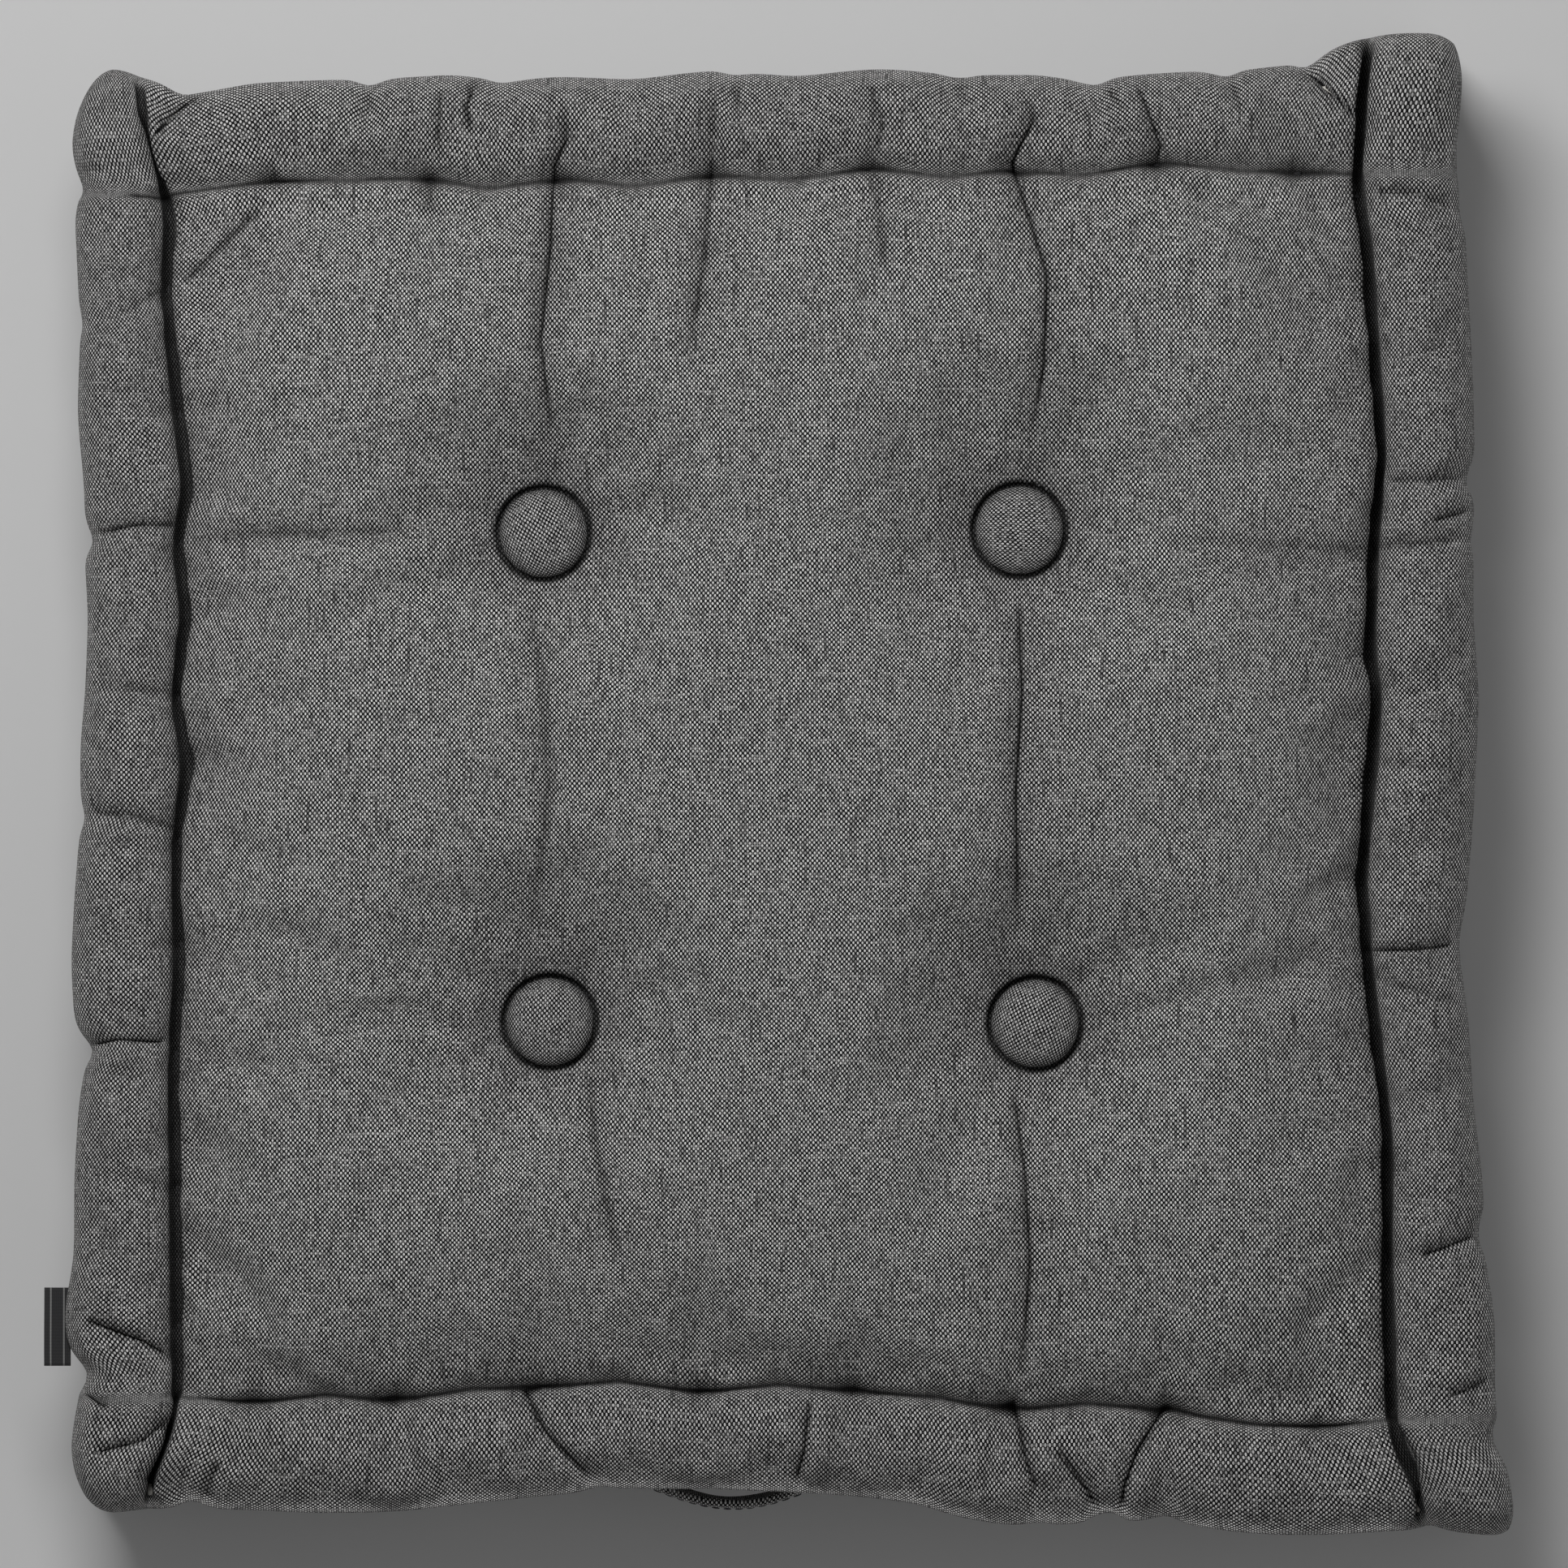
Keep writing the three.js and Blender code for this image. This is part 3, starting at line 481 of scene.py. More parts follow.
def rim_direction(along_side):
    def moved(way):
        return cover_plan(
            np.clip(across + (0 if along_side else way * step), -CLOTH_HALF, CLOTH_HALF),
            np.clip(deep + (way * step if along_side else 0), -CLOTH_HALF, CLOTH_HALF),
        )

    low, high = moved(-1), moved(1)
    dx, dy = high[0] - low[0], high[1] - low[1]
    length = np.maximum(np.hypot(dx, dy), 1e-9)
    sign = np.sign(across) if along_side else -np.sign(deep)
    return dy / length * sign, -dx / length * sign


side_out, end_out = rim_direction(True), rim_direction(False)
out_x, out_y = (np.where(on_side & on_end, by_side + by_end, np.where(on_side, by_side, by_end))
                for by_side, by_end in zip(side_out, end_out))
length = np.maximum(np.hypot(out_x, out_y), 1e-9)
out_x, out_y = out_x / length, out_y / length
profile = np.array([side_profile(min(r, ROWS - 1)) for r in range(ROWS + 1)])
plain_x, plain_y = cover_plan(across, deep, 0.0)[:2]
for row in range(1, ROWS):
    here = rows == row
    away_from_nicks = float(rises(min(row, ROWS - row) / 4)) * here
    x, y = x + (plain_x - x) * away_from_nicks, y + (plain_y - y) * away_from_nicks
    inset, level = profile[row]
    waist = math.sin(math.pi * row / (ROWS - 1)) ** 2
    by_strap = np.where(y < 0, np.exp(-(((x - STRAP_MIDDLE) / STRAP_FLAT) ** 8)), 0) * on_end
    from_corner = CLOTH_HALF - np.minimum(np.abs(across), np.abs(deep))
    inset = inset * (0.35 + 0.65 * rises(from_corner / (50 * MM)))
    bulge = waist * (1.6 * MM * (1 - by_strap) + 0.5 * MM * wander(x + y, np.full(x.shape, level), 0.05, 11)
                     * (1 - by_strap))
    x = np.where(here, x - out_x * (inset - bulge), x)
    y = np.where(here, y - out_y * (inset - bulge), y)
    z = np.where(here, level, z)

# The bottom panel: the same rolls, pressed flat on the floor, and shallow dimples.
under = rows == ROWS
roll_under = SEAM_BOTTOM - ROLL * np.sqrt(np.clip(1 - ((np.minimum(u, v) - ROLL) / ROLL) ** 2, 0, 1))
groove_under = 5 * MM * np.exp(-(((np.minimum(u, v) - GROOVE) / (4.5 * MM)) ** 2))
bottom_z = np.where(np.minimum(u, v) < ROLL, roll_under, groove_under)
bottom_z = bottom_z + dimple(x, y, SEAT_BOTTOM, BOTTOM_DIMPLE) * (np.minimum(u, v) > GROOVE)
z = np.where(under, np.maximum(bottom_z, 0.3 * MM), z)

# The weave of the boxing follows the length of the strip along its middle, and down from seam to seam.
down = np.concatenate([[0], np.cumsum(np.hypot(*np.diff(profile, axis=0).T))])
strip_length = {}
for number, (flat, other, sign) in enumerate([(deep, across, -1), (deep, across, 1), (across, deep, -1),
                                              (across, deep, 1)]):
    line = np.flatnonzero((rows == ROWS // 2) & (other * sign > AT_RIM))
    line = line[np.argsort(flat[line])]
    gone = np.concatenate([[0], np.cumsum(np.hypot(np.diff(x[line]), np.diff(y[line])))])
    strip_length[BOXING + number] = (flat[line], gone - gone[-1] / 2)
for face in cover.faces:
    if face[part_layer] >= BOXING:
        layer = deep_layer if face[part_layer] < BOXING + 2 else across_layer
        for loop in face.loops:
            strip = np.interp(loop.vert[layer], *strip_length[face[part_layer]])
            loop[weave_layer].uv = (strip, -down[min(round(loop.vert[row_layer]), ROWS - 1)])

for vertex, side_inset, end_inset, *place in zip(cover.verts, u, v, x, y, z):
    vertex.co = place
    vertex[side_layer], vertex[end_layer] = side_inset, end_inset
rim_verts = [vt for vt in cover.verts if vt.is_boundary]
bmesh.ops.remove_doubles(cover, verts=rim_verts, dist=0.2 * MM)
bmesh.ops.recalc_face_normals(cover, faces=cover.faces)


# ---- Cover: its folds, tacks and gathers ----
# Drawing the rolls in gathers the panel's cloth from side to side, so sharp folds run from the back tacks through
# the buttons to the front. Each stitch pinches the roll and puckers the cloth round it.


def settled(form, name, rounds):
    """The form as a mesh with its facets smoothed out, fine enough to sculpt the folds in."""
    mesh = bpy.data.meshes.new(name)
    form.to_mesh(mesh)
    holder = bpy.data.objects.new(name, mesh)
    scene.collection.objects.link(holder)
    rounder = holder.modifiers.new("round", "SUBSURF")
    rounder.levels = rounder.render_levels = rounds
    fine = bpy.data.meshes.new_from_object(holder.evaluated_get(bpy.context.evaluated_depsgraph_get()))
    bpy.data.objects.remove(holder)
    bpy.data.meshes.remove(mesh)
    return fine


def values(mesh, name):
    numbers = np.zeros(len(mesh.vertices))
    mesh.attributes[name].data.foreach_get("value", numbers)
    return numbers


PRESS_FRAMES, PRESS_CAP = 20, 5 * MM


def blown_up(form):
    """Lets the filling press the cover out, held at its seams, grooves and button seats."""
    mesh = bpy.data.meshes.new("pressed cover")
    form.to_mesh(mesh)
    holder = bpy.data.objects.new("pressed cover", mesh)
    scene.collection.objects.link(holder)
    start = np.zeros(len(mesh.vertices) * 3)
    mesh.vertices.foreach_get("co", start)
    start = start.reshape(-1, 3)
    row, u, v = (values(mesh, name) for name in ("row", "side_inset", "end_inset"))
    hold = np.exp(-((np.minimum(np.abs(u - GROOVE), np.abs(v - GROOVE)) / (3.5 * MM)) ** 2))
    hold = np.maximum(hold, np.minimum(u, v) < 4 * MM)
    for tuft in TUFTS.values():
        hold = np.maximum(hold, np.hypot(start[:, 0] - tuft[0], start[:, 1] - tuft[1]) < 20 * MM)
    hold = np.where(row > 0.5, 1.0, hold)
    group = holder.vertex_groups.new(name="held")
    for number, weight in enumerate(hold):
        group.add([number], float(weight), "REPLACE")
    press = holder.modifiers.new("cloth", "CLOTH")
    cloth = press.settings
    cloth.quality, cloth.mass = 6, 0.15
    cloth.tension_stiffness = cloth.compression_stiffness = 25
    cloth.shear_stiffness, cloth.bending_stiffness = 8, 0.12
    cloth.tension_damping = cloth.compression_damping = 12
    cloth.air_damping = 2
    cloth.vertex_group_mass = "held"
    cloth.pin_stiffness = 8
    cloth.shrink_min = cloth.shrink_max = -0.035
    cloth.use_pressure, cloth.uniform_pressure_force = True, 4
    cloth.effector_weights.gravity = 0
    press.collision_settings.use_self_collision = False
    press.point_cache.frame_start, press.point_cache.frame_end = 1, PRESS_FRAMES
    for moment in range(1, PRESS_FRAMES + 1):
        scene.frame_set(moment)
    pressed = holder.evaluated_get(bpy.context.evaluated_depsgraph_get())
    ended = np.zeros(len(start) * 3)
    pressed.data.vertices.foreach_get("co", ended)
    shift = ended.reshape(-1, 3) - start
    far = np.maximum(np.linalg.norm(shift, axis=1, keepdims=True), 1e-9)
    shift *= np.minimum(far, PRESS_CAP) / far
    scene.frame_set(1)
    bpy.data.objects.remove(holder)
    bpy.data.meshes.remove(mesh)
    for vertex, move in zip(form.verts, shift):
        vertex.co += Vector(move)


blown_up(cover)
filling_form = cover.copy()
side_mesh = settled(cover, "cover sides", 1)
top_mesh = settled(cover, "cover top", 2)
cover.free()
places = np.zeros(len(top_mesh.vertices) * 3)
top_mesh.vertices.foreach_get("co", places)
places = places.reshape(-1, 3)
row, u, v = values(top_mesh, "row"), values(top_mesh, "side_inset"), values(top_mesh, "end_inset")


FOLD_REACH = 16 * MM


def folded(x, y):
    """Each fold is a narrow crease whose walls are drawn together, and the cloth stands up along one side of it.
    Gives the moves across, along and up, and how much painted shade the crease gets, from 0 to 1."""
    move_x, move_y, lift, painted_shade = (np.zeros(x.shape) for _ in range(4))
    for line, depth, width, lean in FOLDS:
        ends = np.array(line) * MM
        low, high = ends.min(axis=0) - FOLD_REACH, ends.max(axis=0) + FOLD_REACH
        close = np.flatnonzero((x > low[0]) & (x < high[0]) & (y > low[1]) & (y < high[1]))
        away, share, side, away_x, away_y = line_distance(x[close], y[close], line)
        fade = rises(share / 0.12) * rises((1 - share) / 0.30)
        w = width * MM
        crease = np.exp(-away / (0.36 * w)) + np.exp(-((away / (1.5 * w)) ** 2)) * 0.35
        ridge = np.exp(-(((away - 1.5 * w) / (1.1 * w)) ** 2)) * np.where(side * lean > 0, 0.5, 0.15)
        lift[close] += depth * MM * fade * (ridge - crease)
        drawn = -0.85 * min(1, (depth / 3.6) ** 2) * np.exp(-((away / w) ** 2)) * fade
        move_x[close] += away_x * drawn
        move_y[close] += away_y * drawn
        # Painted shade, deep in the crease and fainter beside it.
        beside = 0.22 * np.exp(-((away / (2.0 * w)) ** 2))
        shade_amount = min(1, depth / 4.5) * fade * np.maximum(np.exp(-((away / (0.45 * w)) ** 2)), beside)
        painted_shade[close] = np.maximum(painted_shade[close], shade_amount)
    return move_x, move_y, lift, painted_shade


PUCKER_REACH = 34 * MM
PIT_WIDTH, SIDE_PIT, END_PIT = 3.4 * MM, 1.5, 3.2


def puckers(x, y):
    """The pit at each tack, with small pleats fanning out from it over the roll and into the panel."""
    lift = np.zeros(x.shape)
    draw = np.random.default_rng(8)
    for side, tacks in TACKS.items():
        alongside = side in ("left", "right")
        sign = -1 if side in ("left", "front") else 1
        for tack in tacks:
            place = tack * MM
            line = sign * (HALF - GROOVE + float(GROOVE_SHIFT[side](place)))
            cx, cy = (line, place) if alongside else (place, line)
            close = np.flatnonzero(np.hypot(x - cx, y - cy) < PUCKER_REACH)
            near_x, near_y = x[close], y[close]
            away = np.hypot(near_x - cx, near_y - cy)
            lift[close] -= (SIDE_PIT if alongside else END_PIT) * MM * np.exp(-((away / PIT_WIDTH) ** 2))
            for way in (1, -1):
                for _ in range(2 if alongside else 3):
                    turn = draw.uniform(-0.5, 0.5)
                    reach = draw.uniform(12, 26) if way * sign > 0 else draw.uniform(8, 22)
                    depth = draw.uniform(0.5, 1.3)
                    across_step, along_step = math.cos(turn) * way, math.sin(turn)
                    dx, dy = (across_step, along_step) if alongside else (along_step, across_step)
                    end = (cx / MM + dx * reach, cy / MM + dy * reach)
                    distance, share = line_distance(near_x, near_y, [(cx / MM, cy / MM), end])[:2]
                    fade = rises((1 - share) / 0.9) * rises((share + 0.05) / 0.15)
                    pleat = np.exp(-distance / (1.5 * MM)) - 0.4 * np.exp(-((distance / (4 * MM)) ** 2))
                    lift[close] -= depth * MM * fade * pleat
    return lift


COLLAR_SWELL, COLLAR_GAP = 2.1, 2.6
SWELL_REACH, HALO_SHADE_REACH = 11 * MM, 10 * MM


def button_collars(x, y):
    """The cloth is nipped in under each button's rim, and swells up round it."""
    move_x, move_y, lift, painted_shade = (np.zeros(x.shape) for _ in range(4))
    for tuft in TUFTS.values():
        dx, dy = x - tuft[0], y - tuft[1]
        away = np.maximum(np.hypot(dx, dy), 0.1 * MM)
        past = away - (BUTTON_RADIUS + 1.2 * MM)
        swell = (1 - np.exp(-np.maximum(past, 0) / (0.7 * MM))) * np.exp(-((past / SWELL_REACH) ** 2))
        gap = np.exp(-(((past + 0.4 * MM) / (0.9 * MM)) ** 2))
        lift += (COLLAR_SWELL * swell - COLLAR_GAP * gap) * MM
        drawn = -0.7 * past * np.exp(-((past / (2.4 * MM)) ** 2))
        move_x += dx / away * drawn
        move_y += dy / away * drawn
        # Painted shade: a dark ring right under each button's rim and a soft darker halo round it.
        halo_shade = 0.24 * np.exp(-((past / HALO_SHADE_REACH) ** 2))
        painted_shade = np.maximum(painted_shade, np.maximum(1 - rises((past - 0.2 * MM) / (1.6 * MM)), halo_shade))
    return move_x, move_y, lift, painted_shade


SIDE_CREASE, SIDE_CREASE_WIDTH = 8.0, 2.2 * MM
END_CREASE, END_CREASE_WIDTH = 1.8, 1.5 * MM


def groove_lines(u, v):
    """The stitched line along the bottom of each groove."""
    side = np.exp(-np.abs(u - GROOVE) / SIDE_CREASE_WIDTH) * SIDE_CREASE * MM
    end = np.exp(-np.abs(v - GROOVE) / END_CREASE_WIDTH) * END_CREASE * MM * (u > GROOVE)
    return -np.maximum(side, end)


# Across a side groove: how far the flat cloth lies from the middle of the groove, and where it is drawn to. The roll
# and the panel bulge towards each other above the stitched line, and leave a narrow slot.
FLAT = [-15.5, -12, -8, -5, -3, -2, -1, -0.5, 0, 1.2, 2.4, 3.6, 4.9, 6, 8, 11, 15, 20, 26, 32, 36]
DRAWN = [-15.5, -11.8, -7.2, -3.8, -2.1, -1.7, -1.7, -1.4, 0, 1.6, 1.9, 1.8, 1.9, 2.5, 4, 7, 11.4, 17.2, 24.5, 31.5, 36]


def slot_draw(x, u):
    """How far the cloth moves across, to make the slot along each side groove."""
    away = (u - GROOVE) / MM
    return -np.sign(x) * (np.interp(away, FLAT, DRAWN) - np.clip(away, FLAT[0], FLAT[-1])) * MM


def slack(x, y):
    """Small soft waves in the cloth, longer from front to back."""
    long_waves = wander(x * 2.6, y * 0.8, 0.030, 21) * 0.30 + wander(x, y, 0.045, 22) * 0.35
    fine_waves = wander(x * 2.0, y, 0.014, 23) * 0.10
    return (long_waves + fine_waves) * MM


# Painted shade over the rolls.
ROLL_SHADE = 0.17  # how much darker the rolls are


def worked(x, y, u, v):
    """The moves across, along and up that the folds, tacks and buttons give the cloth, and how much painted shade
    it gets. The rolls get a little painted shade all over."""
    room = rises((np.minimum(u, v) - 0.5 * MM) / (5 * MM))
    fold_x, fold_y, fold_z, fold_shade = folded(x, y)
    nip_x, nip_y, nip_z, rim_shade = button_collars(x, y)
    lift = fold_z + nip_z + puckers(x, y) + groove_lines(u, v) + slack(x, y)
    side_pull, end_pull = tack_pulls(x, y)
    # Painted shade in the side and end grooves, deeper at the end tacks, and over the rolls.
    side_groove_shade = np.exp(-((np.abs(u - GROOVE) / ((2.3 - 0.7 * side_pull) * MM)) ** 3))
    end_groove_shade = (0.72 + 0.28 * end_pull) * np.exp(-((np.abs(v - GROOVE) / ((1.4 + 1.4 * end_pull) * MM)) ** 2))
    end_groove_shade = end_groove_shade * rises((u - GROOVE) / (3 * MM))
    roll_shade = ROLL_SHADE * (1 - rises((np.minimum(u, v) - 22 * MM) / (16 * MM)))
    painted_shade = np.max([fold_shade, rim_shade, side_groove_shade, end_groove_shade, roll_shade], axis=0)
    return (fold_x + nip_x + slot_draw(x, u)) * room, (fold_y + nip_y) * room, lift * room, painted_shade * room


on_top = row < 0.01
*moves, shade_amount = worked(places[on_top, 0], places[on_top, 1], u[on_top], v[on_top])
places[on_top] += np.column_stack(moves)
top_mesh.vertices.foreach_set("co", places.ravel())
# Painted shade, stored on the top panel's points for the canvas to read.
painted_shade = np.zeros(len(places))
painted_shade[on_top] = shade_amount
top_mesh.attributes.new("painted_shade", "FLOAT", "POINT").data.foreach_set("value", painted_shade)

# The cloth that a fold uses up is pleated inside it, so the weave beside it keeps its size.
slid = np.zeros((len(places), 2))
slid[on_top] = np.column_stack(moves[:2])
corner_points = np.zeros(len(top_mesh.loops), dtype=np.int32)
top_mesh.loops.foreach_get("vertex_index", corner_points)
weave_places = np.zeros(len(corner_points) * 2)
top_mesh.uv_layers["weave"].data.foreach_get("uv", weave_places)
weave_places += slid[corner_points].ravel()
top_mesh.uv_layers["weave"].data.foreach_set("uv", weave_places)
top_mesh.update()


# ---- Cover: its canvas ----
# Coarse plain-weave canvas: off-white warp running front to back, black weft across. The yarns are spun unevenly,
# so single floats are brighter or darker, and long slubs show as streaks. Painted shade darkens the cloth nearly to
# black in the folds, grooves and tacks and round the buttons, and a little over the rolls.

WARP_PITCH, WEFT_PITCH = 0.734 * MM, 0.837 * MM
LIGHT_YARN, DARK_YARN, BETWEEN_YARNS = (0.93, 0.92, 0.91, 1), (0.010, 0.010, 0.011, 1), (0.003, 0.003, 0.003, 1)
# The near black that painted shade mixes the canvas towards, where shade falls in folds, grooves and round buttons.
PAINTED_SHADE_COLOR = (0.006, 0.006, 0.006, 1)


def add(tree, kind, **settings):
    made = tree.nodes.new("ShaderNode" + kind)
    for name, value in settings.items():
        setattr(made, name, value)
    return made


def feed(tree, socket, value):
    if isinstance(value, bpy.types.NodeSocket):
        tree.links.new(value, socket)
    else:
        socket.default_value = value


def calc(tree, operation, *values, clamp=False):
    made = add(tree, "Math", operation=operation, use_clamp=clamp)
    for socket, value in zip(made.inputs, values):
        feed(tree, socket, value)
    return made.outputs[0]


def between(tree, share, low, high):
    made = add(tree, "Mix", data_type="RGBA")
    feed(tree, made.inputs["Factor"], share)
    feed(tree, made.inputs["A"], low)
    feed(tree, made.inputs["B"], high)
    return made.outputs["Result"]


def switch(tree, share, low, high):
    made = add(tree, "Mix", data_type="FLOAT")
    feed(tree, made.inputs["Factor"], share)
    feed(tree, made.inputs["A"], low)
    feed(tree, made.inputs["B"], high)
    return made.outputs["Result"]


def stretch(tree, value, from_low, from_high, to_low=0.0, to_high=1.0):
    made = add(tree, "MapRange", interpolation_type="SMOOTHSTEP")
    for name, number in zip(("Value", "From Min", "From Max", "To Min", "To Max"),
                            (value, from_low, from_high, to_low, to_high)):
        feed(tree, made.inputs[name], number)
    return made.outputs["Result"]


def patches(tree, vector, scale, detail=2.0):
    made = add(tree, "TexNoise", noise_dimensions="3D")
    made.inputs["Scale"].default_value = scale
    made.inputs["Detail"].default_value = detail
    feed(tree, made.inputs["Vector"], vector)
    return made.outputs["Fac"]


def joined(tree, x, y, z=0.0):
    made = add(tree, "CombineXYZ")
    for socket, value in zip(made.inputs, (x, y, z)):
        feed(tree, socket, value)
    return made.outputs[0]


def new_group(name, inputs, outputs):
    group = bpy.data.node_groups.new(name, "ShaderNodeTree")
    for title, kind in inputs:
        group.interface.new_socket(title, in_out="INPUT", socket_type="NodeSocket" + kind)
    for title, kind in outputs:
        group.interface.new_socket(title, in_out="OUTPUT", socket_type="NodeSocket" + kind)
    return group, group.nodes.new("NodeGroupInput").outputs, group.nodes.new("NodeGroupOutput").inputs


def plain_weave():
    tree, given, result = new_group(
        "plain weave",
        [("Cloth", "Vector"), ("Light yarn", "Color"), ("Dark yarn", "Color"), ("Warp pitch", "Float"),
         ("Weft pitch", "Float")],
        [("Color", "Color"), ("Height", "Float")],
    )
    sway = add(tree, "TexNoise", noise_dimensions="3D")
    sway.inputs["Scale"].default_value = 70
    feed(tree, sway.inputs["Vector"], given["Cloth"])
    centred = add(tree, "VectorMath", operation="SUBTRACT")
    feed(tree, centred.inputs[0], sway.outputs["Color"])
    centred.inputs[1].default_value = (0.5, 0.5, 0.5)
    swayed = add(tree, "VectorMath", operation="MULTIPLY_ADD")
    feed(tree, swayed.inputs[0], centred.outputs[0])
    swayed.inputs[1].default_value = (0.0016, 0.0016, 0)
    feed(tree, swayed.inputs[2], given["Cloth"])
    place = add(tree, "SeparateXYZ")
    feed(tree, place.inputs[0], swayed.outputs[0])
    ux = calc(tree, "DIVIDE", place.outputs["X"], given["Warp pitch"])
    uy = calc(tree, "DIVIDE", place.outputs["Y"], given["Weft pitch"])
    ix, iy = calc(tree, "FLOOR", ux), calc(tree, "FLOOR", uy)
    fx = calc(tree, "SUBTRACT", calc(tree, "SUBTRACT", ux, ix), 0.5)
    fy = calc(tree, "SUBTRACT", calc(tree, "SUBTRACT", uy, iy), 0.5)
    warp_up = calc(tree, "FLOORED_MODULO", calc(tree, "ADD", ix, iy), 2.0)

    def oval(across, lengthways):
        a = calc(tree, "POWER", calc(tree, "ABSOLUTE", calc(tree, "DIVIDE", fx, across)), 2.0)
        b = calc(tree, "POWER", calc(tree, "ABSOLUTE", calc(tree, "DIVIDE", fy, lengthways)), 2.0)
        return calc(tree, "ADD", a, b)

    span = switch(tree, warp_up, oval(0.62, 0.47), oval(0.48, 0.63))
    dome = calc(tree, "SQRT", calc(tree, "MAXIMUM", calc(tree, "SUBTRACT", 1.0, span), 0.0))
    covers = stretch(tree, span, 1.0, 0.6)
    warp_thread = patches(tree, joined(tree, calc(tree, "MULTIPLY", ix, 7.31), calc(tree, "MULTIPLY", uy, 0.16)), 1.0)
    weft_thread = patches(tree, joined(tree, calc(tree, "MULTIPLY", ux, 0.16), calc(tree, "MULTIPLY", iy, 7.31), 9.0),
                          1.0)
    speck = add(tree, "TexWhiteNoise", noise_dimensions="2D")
    feed(tree, speck.inputs["Vector"], joined(tree, ix, iy))
    each = calc(tree, "SUBTRACT", speck.outputs["Value"], 0.5)
    warp_tone = calc(tree, "ADD", stretch(tree, warp_thread, 0.3, 0.66, 0.62, 1.0), calc(tree, "MULTIPLY", each, 0.5),
                     clamp=True)
    weft_tone = calc(tree, "ADD", stretch(tree, weft_thread, 0.45, 0.8, 0.0, 0.30), calc(tree, "MULTIPLY", each, 0.08),
                     clamp=True)
    slub = stretch(tree, patches(tree, joined(tree, calc(tree, "MULTIPLY", ix, 3.7), calc(tree, "MULTIPLY", uy, 0.05),
                                              4.0), 1.0), 0.60, 0.74, 1.0, 0.45)
    tone = calc(tree, "MULTIPLY", switch(tree, warp_up, weft_tone, warp_tone), slub)
    yarn = between(tree, tone, given["Dark yarn"], given["Light yarn"])
    feed(tree, result["Color"], between(tree, covers, BETWEEN_YARNS, yarn))
    thickness = calc(tree, "ADD", 0.8, calc(tree, "MULTIPLY", each, 0.4))
    feed(tree, result["Height"], calc(tree, "MULTIPLY", dome, thickness))
    return tree


def new_material(name, roughness):
    material = bpy.data.materials.new(name)
    material.use_nodes = True
    surface = material.node_tree.nodes["Principled BSDF"]
    surface.inputs["Roughness"].default_value = roughness
    return material, material.node_tree, surface


def raised(tree, surface, height, distance, strength=1.0):
    bump = add(tree, "Bump")
    bump.inputs["Distance"].default_value = distance
    bump.inputs["Strength"].default_value = strength
    feed(tree, bump.inputs["Height"], height)
    feed(tree, surface.inputs["Normal"], bump.outputs[0])


def canvas_material():
    material, tree, surface = new_material("grey canvas", 0.92)
    weave = add(tree, "Group", node_tree=plain_weave())
    feed(tree, weave.inputs["Cloth"], add(tree, "UVMap", uv_map="weave").outputs[0])
    for name, value in (("Light yarn", LIGHT_YARN), ("Dark yarn", DARK_YARN), ("Warp pitch", WARP_PITCH),
                        ("Weft pitch", WEFT_PITCH)):
        weave.inputs[name].default_value = value
    # Painted shade: a per-point attribute mixes the weave towards near black where shade falls.
    painted_shade = add(tree, "Attribute", attribute_name="painted_shade").outputs["Fac"]
    shade_share = calc(tree, "MULTIPLY", painted_shade, 0.88)
    feed(tree, surface.inputs["Base Color"], between(tree, shade_share, weave.outputs["Color"], PAINTED_SHADE_COLOR))
    raised(tree, surface, weave.outputs["Height"], 0.3 * MM, 0.7)
    surface.inputs["Sheen Weight"].default_value = 0.03
    surface.inputs["Sheen Roughness"].default_value = 0.5
    surface.inputs["Specular IOR Level"].default_value = 0.08
    return material


canvas = canvas_material()


# ---- Cover: its panels and boxing ----
# The cover is sewn from six pieces of canvas: two square panels and four boxing strips. They join along the
# outermost line of each roll and up the corners, right sides together, so no stitch shows.

CANVAS_THICKNESS = 1.1 * MM


def finish_piece(name, mesh_builder, material, body, smooth=True):
    """Turns a bmesh into a finished piece that rides on a body."""
    mesh = bpy.data.meshes.new(name)
    for face in mesh_builder.faces:
        face.smooth = smooth
    mesh_builder.to_mesh(mesh)
    mesh_builder.free()
    mesh.materials.append(material)
    piece = bpy.data.objects.new(name, mesh)
    scene.collection.objects.link(piece)
    if body:
        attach(piece, body)
    return piece


COVER_PARTS = {"top_panel": TOP, "bottom_panel": BOTTOM, "boxing_left": BOXING, "boxing_right": BOXING + 1,
               "boxing_front": BOXING + 2, "boxing_back": BOXING + 3}
for mesh in (top_mesh, side_mesh):
    for name in ("row", "across", "deep", "side_inset", "end_inset"):
        mesh.attributes.remove(mesh.attributes[name])
for node_name, number in COVER_PARTS.items():
    cut = bmesh.new()
    cut.from_mesh(top_mesh if number == TOP else side_mesh)
    part = cut.faces.layers.int["part"]
    bmesh.ops.delete(cut, geom=[f for f in cut.faces if f[part] != number], context="FACES")
    panel = finish_piece(node_name + "_canvas", cut, canvas, "cushion")
    cloth = panel.modifiers.new("cloth thickness", "SOLIDIFY")
    cloth.thickness, cloth.offset = CANVAS_THICKNESS, -1
    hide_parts(node_name)


# ---- Filling ----
# Carded fibre packed tight inside the cover, with no cover of its own. It follows the cloth a little way below it,
# and lower under each fold.


def fibre_material():
    material, tree, surface = new_material("carded fibre", 0.95)
    place = add(tree, "TexCoord").outputs["Object"]
    tufts_seen = patches(tree, place, 160, 6)
    feed(tree, surface.inputs["Base Color"], between(tree, tufts_seen, (0.62, 0.59, 0.53, 1), (0.88, 0.86, 0.82, 1)))
    raised(tree, surface, patches(tree, place, 420, 8), 1.5 * MM)
    return material


